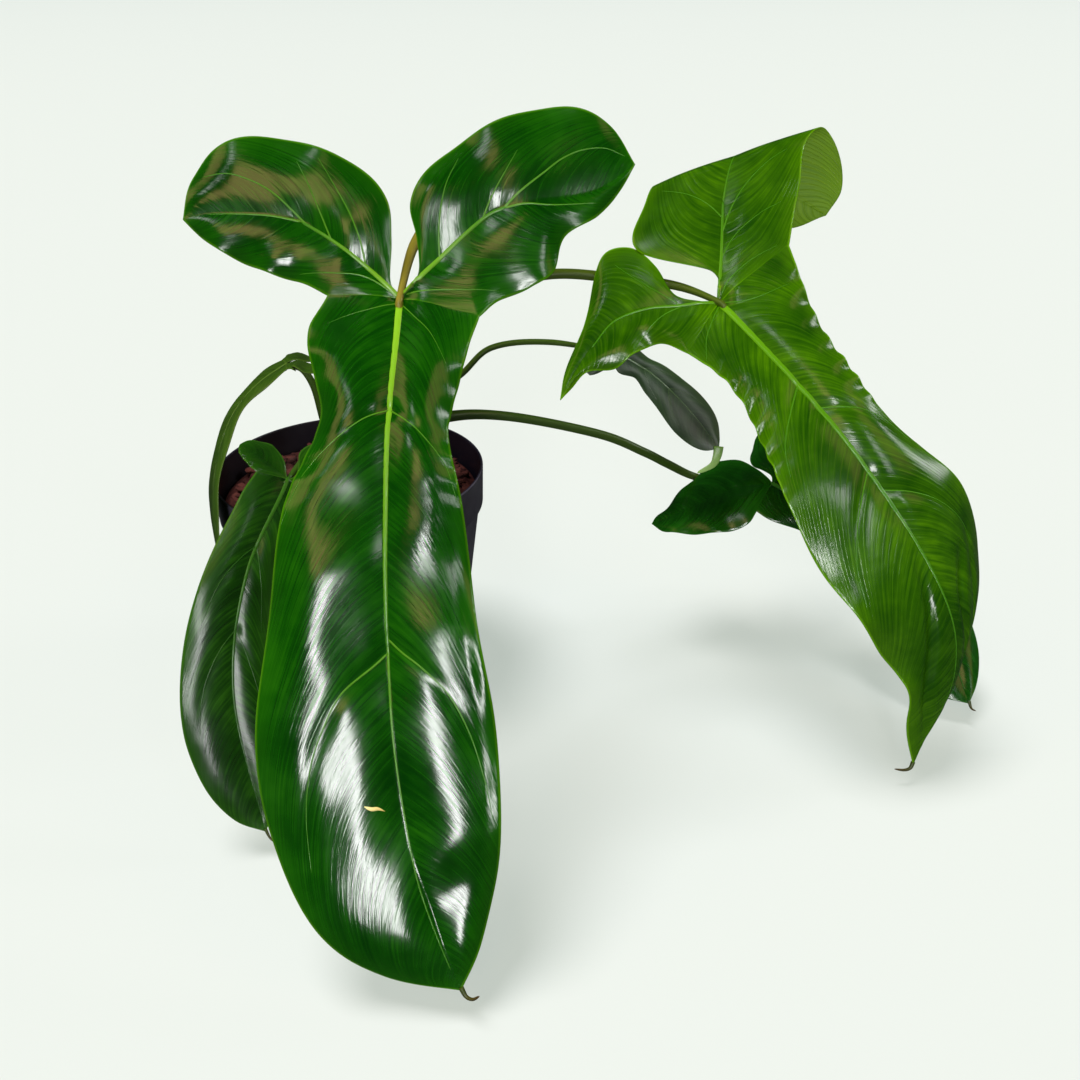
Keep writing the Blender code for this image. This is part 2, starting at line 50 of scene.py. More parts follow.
# %% [markdown]
# ## Curves and surfaces from arrays
# Every piece starts from a few points that a smooth curve runs through. A Catmull-Rom curve was chosen
# over a Bezier one because it passes through its points and needs no handles. The same few helpers then
# space points evenly, make a round tube along a curve and write a finished mesh.

# %% Smooth curves
PATH_SAMPLES = 12


def unit(vectors):
    return vectors / np.linalg.norm(vectors, axis=-1, keepdims=True)


def arc_lengths(points):
    """Distance along a polyline at each of its points."""
    return np.concatenate([[0], np.cumsum(np.linalg.norm(np.diff(points, axis=0), axis=1))])


def at_distances(points, distances):
    """Points on a polyline at distances along it."""
    total = arc_lengths(points)
    return np.stack([np.interp(distances, total, column) for column in np.transpose(points)], axis=1)


def smooth_path(points):
    """Catmull-Rom: between b and c, half of 2b + (c-a)t + (2a-5b+4c-d)t^2 + (3b-a-3c+d)t^3."""
    points = np.asarray(points, float)
    ends = 2 * points[[0, -1]] - points[[1, -2]]
    padded = np.vstack([ends[:1], points, ends[1:]])
    a, b, c, d = (padded[i:len(padded) - 3 + i, None] for i in range(4))
    t = np.linspace(0, 1, PATH_SAMPLES, endpoint=False)[None, :, None]
    curve = (2 * b + (c - a) * t + (2 * a - 5 * b + 4 * c - d) * t**2 + (3 * b - a - 3 * c + d) * t**3) / 2
    return np.vstack([curve.reshape(-1, points.shape[1]), points[-1:]])


def even_path(points, count):
    """count points equally spaced along the smooth curve through the points."""
    path = smooth_path(points)
    return at_distances(path, np.linspace(0, arc_lengths(path)[-1], count))


def smooth_step(value):
    """3x^2 - 2x^3 on the value held between 0 and 1."""
    value = np.clip(value, 0, 1)
    return value * value * (3 - 2 * value)


SQUARE = ((1, 0), (0, 1), (-1, 0), (0, -1), (1, 0))
print(f"smooth curve through a square of side 1.41: {arc_lengths(smooth_path(SQUARE))[-1]:.2f} long")

# %% Tubes and grids
def grid_quads(rows, columns, closed=False):
    """Corner numbers of the quads of a grid whose points are numbered row by row."""
    row, column = np.meshgrid(np.arange(rows - 1), np.arange(columns - (not closed)), indexing="ij")
    right = (column + 1) % columns
    corners = [row * columns + column, row * columns + right]
    corners += [corners[1] + columns, corners[0] + columns]
    return np.stack(corners, axis=-1).reshape(-1, 4)


def end_fans(rings, sides, first_hub, last_hub):
    """Triangles from one hub point to the first ring of a closed grid, and from another to its last."""
    this = np.arange(sides)
    following = (this + 1) % sides
    last_ring = (rings - 1) * sides
    return (np.stack([np.full(sides, first_hub), following, this], axis=1),
            np.stack([np.full(sides, last_hub), last_ring + this, last_ring + following], axis=1))


def tube(path, half_width, half_height, up, sides=16):
    """Rings round a path: centre + half_width cos(a) side + half_height sin(a) normal, closed at both ends.

    up is the direction that each ring's height leans to. The end rings shrink to a point of near-zero size.
    """
    tangent = unit(np.gradient(path, axis=0))
    side = unit(np.cross(up, tangent))
    normal = np.cross(tangent, side)
    angle = np.linspace(0, 2 * math.pi, sides, endpoint=False)
    wide = half_width[:, None, None] * np.cos(angle)[None, :, None] * side[:, None]
    high = half_height[:, None, None] * np.sin(angle)[None, :, None] * normal[:, None]
    rings = path[:, None] + wide + high
    points = np.vstack([rings.reshape(-1, 3), rings[0].mean(axis=0), rings[-1].mean(axis=0)])
    quads = grid_quads(len(path), sides, closed=True)
    ends = end_fans(len(path), sides, len(points) - 2, len(points) - 1)
    return points, quads, np.vstack(ends)


print("quads of a grid of 3 by 4 points:", len(grid_quads(3, 4)), "and closed:", len(grid_quads(3, 4, True)))

# %% Write a mesh
def whole_faces(faces, plan):
    """Quads with four corners, then triangles from the quads that have two corners in one place."""
    same = faces == np.roll(faces, -1, axis=1)
    whole = ~same.any(axis=1)
    yield faces[whole], plan[whole]
    for corner in range(4):
        chosen = same[:, corner] & (same.sum(axis=1) == 1)
        kept = [i for i in range(4) if i != corner]
        yield faces[chosen][:, kept], plan[chosen][:, kept]


class Shape:
    """Gathers points and faces for one piece, with a material, plan coordinates and a tone."""

    def __init__(self):
        self.points, self.tones, self.faces, self.materials, self.plans = [], [], [], [], []
        self.count = 0

    def add_points(self, points, tone=None):
        """Returns the number of the first new point."""
        first = self.count
        self.points.append(points)
        self.tones.append(np.zeros(len(points)) if tone is None else tone)
        self.count += len(points)
        return first

    def add_faces(self, faces, material, plan=None):
        """plan holds two numbers for each corner of each face."""
        self.faces += faces.tolist()
        self.materials.append(np.full(len(faces), material, np.int32))
        self.plans.append(np.zeros((faces.size, 2)) if plan is None else plan.reshape(-1, 2))

    def add_tube(self, path, half_width, half_height, up, material, tone=None, sides=16):
        """A closed tube whose plan coordinates are the distance along it and the turn round it."""
        points, quads, ends = tube(path, half_width, half_height, up, sides)
        tone = np.zeros(len(path)) if tone is None else tone
        first = self.add_points(points, np.concatenate([np.repeat(tone, sides), tone[[0, -1]]]))
        run = np.repeat(arc_lengths(path) / MM, sides)
        turn = np.tile(np.arange(sides) / sides, len(path))
        plan = np.vstack([np.stack([run, turn], axis=1), [[0, 0], [run[-1], 0]]])
        for faces in (quads, ends):
            self.add_faces(faces + first, material, plan[faces])

    def build(self, name, materials, slot, *nodes):
        """Makes the object, lets it ride on the plant and stand for its CAD nodes."""
        mesh = bpy.data.meshes.new(name)
        mesh.from_pydata(np.vstack(self.points).tolist(), [], self.faces)
        for material in materials:
            mesh.materials.append(material)
        mesh.polygons.foreach_set("material_index", np.concatenate(self.materials))
        layer = mesh.uv_layers.new(name="plan")
        layer.data.foreach_set("uv", np.vstack(self.plans).astype(np.float32).ravel())
        tone = mesh.attributes.new("tone", "FLOAT", "POINT")
        tone.data.foreach_set("value", np.concatenate(self.tones).astype(np.float32))
        mesh.shade_smooth()
        mesh.update()
        piece = bpy.data.objects.new(name, mesh)
        bpy.context.scene.collection.objects.link(piece)
        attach(piece, "root")
        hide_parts(*nodes)
        print(f"{name}: {sum(len(face) - 2 for face in self.faces)} triangles")
        return piece


# %% [markdown]
# ## The leaf as a flat plan
# A fiddle leaf has two ears, a narrow waist and a long lobe. The easiest way to keep its outline sharp is to
# draw the blade flat, as if it were pressed, and to bend it afterwards. The junction with the petiole is
# (0, 0), x runs across the blade, and the tip lies at the far end of -y. Lobe edges run from the notch
# beside the ear to the tip, an ear's outer edge from the same notch to its tip, and its inner edge from the
# junction. Sculpting would give a freer shape, but a drawn outline can be reused for all six leaves.

# %% Outlines in millimetres
LOBE_LENGTH = 296
LEFT_LOBE = ((-30, 0), (-37, -20), (-29, -50), (-31, -64), (-41, -92), (-48, -137), (-55, -185),
             (-55, -218), (-46, -254), (-28, -281), (0, -LOBE_LENGTH))
RIGHT_LOBE = ((34, -8), (30, -22), (25, -50), (25, -64), (31, -92), (36, -137), (41, -182),
              (39, -222), (31, -252), (15, -279), (0, -LOBE_LENGTH))
LEFT_EAR_OUTER = ((-30, 0), (-42, 7), (-54, 11), (-68, 18), (-82, 28), (-90, 37))
LEFT_EAR_INNER = ((0, 0), (-4, 7), (-3, 24), (-4, 41), (-15, 55), (-37, 66), (-58, 70), (-76, 65),
                  (-86, 53), (-90, 37))
RIGHT_EAR_OUTER = ((34, -8), (42, -1), (55, 4), (65, 10), (70, 23), (84, 30), (95, 41), (101, 51))
RIGHT_EAR_INNER = ((0, 0), (8, 8), (8, 24), (6, 39), (14, 53), (33, 67), (55, 76), (75, 77), (92, 68),
                   (101, 51))

# %% Outlines of the bent leaf, with a slim left ear and a broad right one whose tip has rolled back
BENT_LEFT_LOBE = ((-30, -12), (-27, -26), (-26, -41), (-28, -58), (-37, -88), (-43, -108), (-48, -147),
                  (-46, -176), (-40, -210), (-28, -248), (-14, -276), (0, -LOBE_LENGTH))
BENT_RIGHT_LOBE = ((45, -1), (38, -20), (31, -42), (27, -62), (26, -92), (34, -126), (44, -155),
                   (48, -190), (40, -228), (22, -264), (0, -LOBE_LENGTH))
SLIM_EAR_OUTER = ((-30, -12), (-37, 3), (-50, 7), (-62, 8), (-76, 16), (-95, 13))
SLIM_EAR_INNER = ((0, 0), (-8, 7), (-15, 19), (-12, 36), (-14, 53), (-25, 60), (-39, 54), (-60, 37),
                  (-80, 27), (-95, 13))
BROAD_EAR_OUTER = ((45, -1), (59, 11), (72, 21), (88, 35), (108, 44), (120, 58), (123, 74), (117, 88))
BROAD_EAR_INNER = ((0, 0), (7, 7), (8, 14), (4, 21), (-9, 40), (-13, 50), (-9, 58), (6, 67), (30, 82),
                   (62, 95), (97, 96), (117, 88))
ROUND_EAR_OUTER = ((-42, -8), (-53, -3), (-63, 5), (-70, 12), (-73, 20))
ROUND_EAR_INNER = ((0, 0), (-4, 5), (-11, 22), (-24, 39), (-36, 47), (-53, 47), (-65, 42), (-72, 32),
                   (-73, 20))
SMOOTH_LEFT_LOBE = ((-30, 0), (-38, -24), (-38, -48), (-40, -72), (-45, -100), (-50, -137), (-55, -185),
                    (-55, -218), (-46, -254), (-28, -281), (0, -LOBE_LENGTH))
SHARP_EAR_OUTER = ((-28, -4), (-42, -4), (-60, 6), (-76, 22), (-88, 40), (-90, 55))
SHARP_EAR_INNER = ((0, 0), (2, 8), (3, 22), (1, 41), (-10, 57), (-26, 61), (-46, 62), (-67, 59), (-82, 58),
                   (-90, 55))
FOLD_POINT = (88, 37)
FOLD_DIRECTION = (-0.921, 0.389)
FOLD_RADIUS = 8
FOLD_ANGLE = 2.5
print("lobe in mm:", LOBE_LENGTH, "long and", RIGHT_LOBE[6][0] - LEFT_LOBE[6][0], "wide")

# %% [markdown]
# ## Main veins
# The ribs of a philodendron are pale cords that thin out towards the margin. Each one is listed with the
# points it passes, its width where it starts and where it ends, and the depth of the furrow it lies in.
# They could be painted by a texture alone, but real ones catch light, so each becomes a slim raised cord.

# %% Veins of the two large leaves, in millimetres on the flat blade
FRONT_LEFT_RIB = ((0, 0), (-15, 14.2), (-29, 26), (-40.4, 34), (-53, 37), (-67, 38.5), (-80, 39), (-90, 37))
FRONT_RIGHT_RIB = ((0, 0), (10, 9.6), (21.7, 20), (36.9, 32), (46.2, 35.8), (60, 37), (84, 40), (101, 51))
FRONT_VEINS = (
    (((0, 0), (0, -40), (0, -94), (0, -150)), 3.4, 1.6, 0.5),
    (((0, -146), (0, -190), (0, -224), (-1.5, -255), (-1, -286)), 1.2, 0.5, 0.2),
    (FRONT_LEFT_RIB[:4], 2.6, 1.3, 0.7),
    (FRONT_LEFT_RIB[3:7], 1.1, 0.4, 0.5),
    (((-38, 32), (-44, 39), (-51, 46), (-59, 51), (-70, 54.7), (-81, 54)), 1.0, 0.4, 0.7),
    (((-28, 25), (-31, 34), (-36, 48), (-41, 59)), 0.9, 0.3, 1.0),
    (((-14, 13.5), (-16, 25), (-20, 37), (-27, 51), (-32, 60)), 1.0, 0.3, 1.2),
    (((0, 0), (-14, 8.5), (-27, 10), (-42, 10.5)), 1.0, 0.3, 0.9),
    (FRONT_RIGHT_RIB[:5], 2.8, 1.4, 0.7),
    (((45, 35.2), (52, 41.6), (62, 49), (70, 55), (79, 58.6), (89, 59), (97, 55.4)), 1.2, 0.4, 0.7),
    (((45, 35.3), (54.5, 36.6), (66, 35.4), (84, 35.3)), 1.1, 0.4, 0.5),
    (((36, 31.5), (40, 40), (46, 50), (52, 60)), 0.9, 0.3, 1.0),
    (((17, 16), (17.6, 30), (21, 45), (27, 58)), 1.0, 0.3, 1.3),
    (((2, 1.6), (12, 2.6), (26, 2.6), (42, 2.4)), 0.9, 0.3, 0.6),
    (((0, -2), (-9, -5), (-20, -9), (-29, -14)), 0.6, 0.2, 0.6),
    (((0, -2), (6, -8), (14, -16), (22, -30)), 0.6, 0.2, 0.5),
    (((0, -51), (7, -56), (14, -62), (24, -75), (29, -90)), 0.7, 0.25, 0.8),
    (((0, -51), (-11, -57), (-24, -68), (-34, -80), (-42, -100)), 0.7, 0.25, 0.8),
    (((0, -146), (6, -152), (14, -159), (24, -171), (31, -189), (34.6, -211), (35, -228)), 1.0, 0.3, 0.9),
    (((0, -152), (-6, -157), (-19, -167), (-27, -180), (-33, -193), (-38, -211), (-41, -232)), 1.0, 0.3, 0.9),
)
BENT_LEFT_RIB = ((0, 0), (-16.7, 12), (-31, 22.5), (-47.6, 28.5), (-65, 25), (-80, 20), (-95, 13))
BENT_RIGHT_RIB = ((0, 0), (8, 9), (18.3, 20), (36.8, 40.4), (50, 51.5), (66, 62), (90, 76), (117, 88))
BENT_VEINS = (
    (((0, 1), (0, -40), (0, -92), (0, -144)), 4.0, 2.0, 0.9),
    (((0, -140), (0, -190), (0, -240), (0, -286)), 1.7, 0.5, 0.9),
    (BENT_LEFT_RIB[:5], 2.0, 0.7, 0.8),
    (BENT_RIGHT_RIB[:4], 2.4, 1.2, 0.9),
    (BENT_RIGHT_RIB[3:6], 1.1, 0.4, 0.7),
    (((31, 34), (30, 45), (26, 56), (18, 68)), 0.9, 0.3, 0.8),
    (((26, 28), (36, 34), (50, 39), (66, 41), (80, 40)), 1.0, 0.3, 0.9),
    (((12, 13), (18, 18), (30, 22), (46, 22), (58, 20)), 0.8, 0.3, 0.9),
    (((2, 2), (12, 5.5), (26, 6), (41, 3)), 1.0, 0.3, 1.0),
    (((1, -1), (8, -8), (18, -13), (32, -17)), 0.8, 0.3, 0.7),
    (((0, -1), (-9, -6), (-18, -12), (-26, -22)), 0.8, 0.3, 0.7),
    (((-15, 10.5), (-26, 13), (-38, 12), (-50, 9)), 0.8, 0.3, 0.7),
    (((-16, 12), (-20, 24), (-24, 38), (-27, 52)), 0.7, 0.3, 0.7),
    (((0, -62), (-7, -67), (-17, -75), (-27, -85), (-34, -98)), 1.0, 0.3, 1.1),
    (((0, -78), (8, -84), (17, -92), (25, -104), (30, -118)), 0.9, 0.3, 0.9),
    (((0, -118), (-10, -126), (-22, -138), (-34, -156), (-40, -176)), 0.8, 0.3, 0.8),
    (((0, -130), (12, -139), (24, -152), (34, -170), (38, -190)), 0.8, 0.3, 0.8),
)
SMALL_VEINS = (
    (((0, 2), (0, -60), (0, -130), (0, -200), (0, -282)), 4.0, 0.8, 0.8),
    (((0, -60), (-12, -74), (-26, -96), (-36, -128)), 1.2, 0.4, 1.0),
    (((0, -60), (10, -74), (20, -96), (27, -128)), 1.2, 0.4, 1.0),
    (((0, -128), (-14, -144), (-30, -172), (-40, -206)), 1.2, 0.4, 1.0),
    (((0, -128), (12, -144), (24, -172), (31, -206)), 1.2, 0.4, 1.0),
)
print("veins on the front leaf and the bent one:", len(FRONT_VEINS), len(BENT_VEINS))

# %% Broad swells and creases of the two large leaves, in millimetres
# FRONT_RELIEF wasn't set by hand. A separate least-squares program found its heights, so that the blade
# mirrors the tall window in streaks down the lobe.
RELIEF_COLUMNS = 9
RELIEF_STEP = (11.0, 13.0)
RELIEF_START = (-44.0, -92.0)
RELIEF_REACH = 13.0
FRONT_RELIEF = (
    (0.0, 0.0, -0.9, -0.9, -0.1, -0.6, -0.5, 0.0, 0.0),
    (0.0, 0.0, -0.4, 0.4, 0.1, -1.4, -0.9, 0.0, 0.0),
    (0.0, 0.8, 0.2, 0.1, 0.1, -1.0, -1.2, 0.4, 0.0),
    (0.0, 1.0, -0.1, -0.3, -0.7, -0.7, -1.2, 0.0, 0.0),
    (0.0, 0.8, -1.1, -0.6, -0.3, -0.3, -0.5, -0.2, 0.0),
    (0.0, 0.0, -0.4, -0.4, -1.7, -0.8, -0.8, -0.8, 0.0),
    (0.0, -0.6, 0.1, -0.2, -0.6, -0.7, -1.6, -0.8, 0.0),
    (0.0, 0.6, -0.4, 0.6, -0.5, -0.5, -1.0, -0.4, 0.0),
    (0.0, 0.4, -1.2, 0.4, -1.5, -0.4, -1.2, -0.6, 0.0),
    (0.0, -0.2, -0.4, 0.3, -0.9, -0.3, -1.0, -0.5, 0.0),
    (0.0, -0.7, 0.0, -0.4, -0.9, -0.5, -0.1, -0.5, 0.0),
    (0.0, -0.5, -0.3, -0.5, 0.3, -0.3, -0.2, -0.3, 0.0),
    (0.0, -0.3, -0.1, -0.4, 1.0, -2.4, -0.9, 0.3, 0.0),
    (0.0, 0.0, -0.1, 0.6, 0.6, -3.2, 2.5, 0.0, 0.0),
    (0.0, 0.0, 0.0, 0.3, 0.3, 0.9, 0.0, 0.0, 0.0),
)
FRONT_SWELLS = (
    (52, 33, 1.1, 13), (50, -1, 1.3, 13), (-50, 8, 1.5, 13), (16, 47, 1.3, 12), (-22, 30, 1.5, 10),
    (-20, 17, 1.3, 10), (16, -103, 1.2, 12),
)
BENT_CREASES = (
    (((-4, -166), (-8, -187), (-14, -214), (-16, -248), (-2, -279)), 3.2, 3.2),
    (((24, -178), (13, -204), (15, -234), (7, -257)), 2.8, 3.4),
    (((36, -170), (30, -200), (26, -228), (14, -262)), 2.8, 2.6),
)
print("deepest crease in mm:", max(depth for _, _, depth in BENT_CREASES))

# %% [markdown]
# ## Six leaves, one recipe
# Each leaf has an outline scaled to its own size, a spine curve that its blade follows through the air, and
# a petiole. Modelling six leaves one by one would be freer, but one recipe keeps them of one kind, and its
# numbers match the CAD solids, so that each living blade lies where its solid does.

# %% The leaves
@dataclass
class Leaf:
    """One leaf: scales of the outline, the spine its blade follows and the petiole that carries it.

    The spine's first point lies over the ears and its second is the junction. across is the direction
    from the blade's left edge to its right one, at the junction and at the tip. wave is the edge's ripple
    in millimetres. tilt is how far each half folds down along the midrib, in radians: the left one at the
    junction and at the tip, then the right one. rows, ear_rows and halves count the cells of the coarse
    plan, and finer says into how many parts each is cut. relief is a table of broad swells in rows down
    the lobe, swells gives more of them as x, y, height and reach, and a crease is a line, a width and a
    depth. crowns say for the left and the right half where between midrib and edge it is highest, how
    much it bulges there and how much its edge droops. frill is the height of the small ruffles on the
    waist's margin, and scars are dry lines on the upper side. tip_spread flattens the drip tip to that
    many times its thickness, and sheath is the share of the petiole over which it slims.
    """

    name: str
    width: float
    ears: tuple
    spine: tuple
    across: tuple
    petiole: tuple
    petiole_radius: tuple
    tip: tuple
    rows: int = 22
    ear_rows: int = 12
    halves: int = 4
    wave: float = 2.5
    ripples: float = 4.0
    tilt: tuple = (0.0, 0.0, 0.0, 0.0)
    folded: bool = False
    left_lobe: tuple = LEFT_LOBE
    right_lobe: tuple = RIGHT_LOBE
    left_ear: tuple = (LEFT_EAR_OUTER, LEFT_EAR_INNER)
    right_ear: tuple = (RIGHT_EAR_OUTER, RIGHT_EAR_INNER)
    ribs: tuple = (None, None)
    veins: tuple = SMALL_VEINS
    relief: tuple = ()
    swells: tuple = ()
    creases: tuple = ()
    crowns: tuple = ((0.57, 3.0, 3.4), (0.57, 3.0, 3.4))
    frill: float = 0.0
    scars: tuple = ()
    tip_spread: float = 1.2
    finer: int = 6
    sheath: float = 0.16


LEAVES = {leaf.name: leaf for leaf in (
    Leaf("leaf_front", 1.0, (1.0, 1.0),
         ((46, -78, 312), (48, -105, 262), (45, -150, 212), (46, -196, 140), (54, -229, 78),
          (75, -254, 17)),
         ((1, 0, 0), (0.97, 0.1, 0.2)),
         ((17, -9, 181), (27, -8, 190), (52, -2, 222), (62, -12, 262), (60, -40, 281),
          (52, -74, 276), (48, -105, 262)),
         (4.5, 2.6), tip=((3, -2, -3), (7, -4, -3), (11, -5, 1)),
         ribs=(FRONT_LEFT_RIB, FRONT_RIGHT_RIB), veins=FRONT_VEINS, relief=FRONT_RELIEF,
         swells=FRONT_SWELLS, crowns=((0.62, 3.5, 2.0), (0.55, 3.4, 2.8)),
         frill=0.7, scars=(((-14.5, -211.5), (-12, -213), (-9.5, -213.4), (-7, -215)),), finer=8),
    Leaf("leaf_right", 1.0, (1.0, 1.0),
         ((166, 20, 262), (199, -10, 233), (254, -64, 183), (302, -97, 120), (318, -106, 70),
          (304, -112, 14)),
         ((0.72, 0.33, 0.6), (0.9, 0.4, 0.1)),
         ((32, 3, 196), (44, 4, 206), (72, 9, 228), (110, 13, 240), (150, 17, 237), (180, 9, 235),
          (199, -9, 232)),
         (4.5, 2.7), tip=((-2, -1, -3), (-7, -2, -4), (-14, -2, -3)),
         tilt=(0.0, 0.1, 0.0, 0.85), folded=True,
         left_lobe=BENT_LEFT_LOBE, right_lobe=BENT_RIGHT_LOBE,
         left_ear=(SLIM_EAR_OUTER, SLIM_EAR_INNER), right_ear=(BROAD_EAR_OUTER, BROAD_EAR_INNER),
         ribs=(BENT_LEFT_RIB, BENT_RIGHT_RIB), veins=BENT_VEINS, creases=BENT_CREASES,
         crowns=((0.57, 1.6, 0.8), (0.57, 3.0, 3.4)), frill=1.8, finer=8),
    Leaf("leaf_left", 0.44, (0.36, 0.38),
         ((-13, -54, 182), (-15, -80, 165), (-32, -113, 130), (-38, -140, 80), (-26, -162, 15)),
         ((0.85, 0.45, -0.15), (0.95, 0.3, 0.1)),
         ((3, -11, 146), (1, -20, 152), (-5, -45, 168), (-15, -80, 165)),
         (4.0, 2.0), tip=((2, -1, -3), (4, -2, -6), (7, -3, -8)),
         rows=16, ear_rows=8, halves=3, wave=1.6, left_lobe=SMOOTH_LEFT_LOBE,
         left_ear=(ROUND_EAR_OUTER, ROUND_EAR_INNER)),
    Leaf("leaf_side", 0.34, (0.26, 0.26),
         ((-14, -8, 199), (-27, -10, 199), (-51, -28, 181), (-63, -46, 147), (-62, -58, 111),
          (-54, -64, 82)),
         ((0.49, -0.9, 0.1), (0.3, -0.94, 0.19)),
         ((-6, -2, 152), (-11, -3, 161), (-14, -6, 184), (-19, -8, 195), (-27, -10, 199)),
         (3.6, 2.0), tip=((1, -1, -3), (2, -2, -6), (2, -3, -8)),
         rows=14, ear_rows=6, halves=3, wave=1.2),
    Leaf("leaf_back", 0.26, (0.22, 0.22),
         ((139, 53, 193), (154, 50, 184), (175, 44, 172), (196, 32, 154), (211, 20, 137)),
         ((0.5, 0.2, 0.8), (0.6, 0.3, 0.7)),
         ((19, 11, 169), (30, 14, 172), (60, 17, 181), (80, 28, 195), (113, 44, 193), (154, 50, 184)),
         (4.8, 1.7), tip=((-1, -2, -6), (-5, -5, -13), (-17, -7, -19)), tip_spread=5.0,
         rows=12, ear_rows=6, halves=3, wave=1.2),
    Leaf("leaf_low", 0.54, (0.72, 0.46),
         ((217, 72, 116), (247, 30, 110), (284, 12, 92), (321, -12, 62), (344, -38, 35), (352, -60, 14)),
         ((0.7, 0.35, 0.5), (0.75, 0.4, 0.4)),
         ((15, -4, 148), (26, -5, 154), (55, -1, 165), (90, 10, 161), (142, 27, 143), (170, 37, 127),
          (186, 51, 113), (206, 64, 98), (228, 52, 99), (247, 31, 109)),
         (4.4, 2.6), tip=((1, -2, -2), (2, -4, -3), (4, -6, -3)),
         rows=16, ear_rows=9, halves=3, wave=2.0, left_ear=(SHARP_EAR_OUTER, SHARP_EAR_INNER)),
)}
print("leaves:", ", ".join(LEAVES))

# %% [markdown]
# ## A grid over the plan
# Each blade is three grids: the lobe, and one ear on each side. A grid's rows run from edge to edge over
# a rib, so its two parameters are the share along the rib and the share across it, -1 to 1. The same rows
# give the plan coordinates that veins follow: where a side vein that passes here left the rib, and how far
# away the rib is. A single triangulated outline would have had no such parameters.

# %% Grids of the flat blade
EAR_RIB_BOW = 0.75
VEIN_START = 0.55
VEIN_CURL = 1.1


@dataclass
class Patch:
    """A grid of flat points: its shares along and across, its crease share, its plan coordinates and the
    distance of each point from the margin."""

    flat: np.ndarray
    along: np.ndarray
    across: np.ndarray
    crease: float
    plan: np.ndarray
    margin: np.ndarray


def make_patch(edge, rib, other, halves, crease):
    """Rows from edge over rib to other. Plan: s - w(0.55 t + 1.1 t^3) and t w, for half width w, share t."""
    share = np.linspace(0, 1, halves + 1)[None, :, None]
    first = edge[:, None] + (rib - edge)[:, None] * share
    second = rib[:, None] + (other - rib)[:, None] * share
    flat = np.concatenate([first, second[:, 1:]], axis=1)
    along, across = np.meshgrid(np.linspace(0, 1, len(rib)), np.linspace(-1, 1, 2 * halves + 1),
                                indexing="ij")
    near, far = (np.linalg.norm(side - rib, axis=1)[:, None] for side in (edge, other))
    half = np.where(across < 0, near, far)
    t = np.abs(across)
    origin = arc_lengths(rib)[:, None] - half * (VEIN_START * t + VEIN_CURL * t**3)
    from_tip = np.linalg.norm(flat - flat[-1, halves], axis=-1)
    margin = np.minimum(half * (1 - t), from_tip)
    return Patch(flat, along, across, crease, np.stack([origin, across * half], axis=-1), margin)


def lobe_stretch(leaf):
    """How much longer or shorter than the largest leaf's lobe this one's spine is."""
    return arc_lengths(smooth_path(leaf.spine)[PATH_SAMPLES:])[-1] / LOBE_LENGTH


def ear_patch(leaf, outer, inner, rib_points, direction):
    """The ear as rows from the junction to its tip; its first rows share the crease with the lobe."""
    halves = leaf.halves * leaf.finer
    crease = np.linspace(0, 1, halves + 1)[:, None] * outer[0]
    outer_edge = np.vstack([crease[:-1], even_path(outer, leaf.ear_rows * leaf.finer + 1)])
    inner_edge = even_path(inner, len(outer_edge))
    if rib_points is None:
        straight = np.linspace(0, 1, len(outer_edge))[:, None] * outer[-1]
        rib = EAR_RIB_BOW * (outer_edge + inner_edge) / 2 + (1 - EAR_RIB_BOW) * straight
    else:
        rib = even_path(rib_points, len(outer_edge))
    edges = (outer_edge, inner_edge) if direction < 0 else (inner_edge, outer_edge)
    return make_patch(edges[0], rib, edges[1], halves, leaf.halves / (leaf.halves + leaf.ear_rows))


def blade_patches(leaf):
    """The lobe's grid and the two ears' grids."""
    stretch = np.array([leaf.width, lobe_stretch(leaf)])
    outer = [np.array(ear[0]) * size for ear, size in zip((leaf.left_ear, leaf.right_ear), leaf.ears)]
    inner = [np.array(ear[1]) * size for ear, size in zip((leaf.left_ear, leaf.right_ear), leaf.ears)]
    left = np.vstack([outer[0][0], np.array(leaf.left_lobe[1:]) * stretch])
    right = np.vstack([outer[1][0], np.array(leaf.right_lobe[1:]) * stretch])
    rows = leaf.rows * leaf.finer + 1
    midrib = np.linspace((0, 0), left[-1], rows)
    return [make_patch(even_path(left, rows), midrib, even_path(right, rows), leaf.halves * leaf.finer, 0),
            ear_patch(leaf, outer[0], inner[0], leaf.ribs[0], -1),
            ear_patch(leaf, outer[1], inner[1], leaf.ribs[1], 1)]


front_lobe, front_left_ear, front_right_ear = blade_patches(LEAVES["leaf_front"])
print("rows and columns of the front leaf's lobe and ears:", front_lobe.across.shape,
      front_left_ear.across.shape, front_right_ear.across.shape)

# %% [markdown]
# ## Relief
# A philodendron blade bulges between midrib and margin, its margin droops and ripples, and each side vein
# lies in a shallow furrow. The large forms are the CAD solid's. The finer ones are added here as heights,
# because a furrow in the surface bends every highlight that crosses it, which a bump alone does less well.

# %% Heights over the flat blade, in millimetres
# A fade, start or end is a share of the way along, and a length, width or calm distance is in millimetres.
CREASE_FADE = 0.12
EAR_FADE = 0.25
EAR_SWELL = 0.3
EAR_SHARE = 0.7
TIP_FADE = 0.15
RIGHT_PHASE = 1.9
EAR_CROWN = (0.57, 1.8, 2.8)
FRILL_START = 0.04
FRILL_END = 0.34
FRILL_FADE = 0.12
FRILL_TURNS = 150
FRILL_WANDER = 23
FURROW_WIDTH = 3.2
RIB_SPACING = 5.2
RIB_HEIGHT = 0.006
RIB_CALM = 6
DIMPLE = 0.06
DIMPLE_LENGTH = 26
DIMPLE_SEED = 3
MARGIN_CALM = 7
LINE_POINTS = 24
EAR_WIDENS = 0.7
EAR_EASES = 0.35
FURROW_RUNS_OUT = 0.6


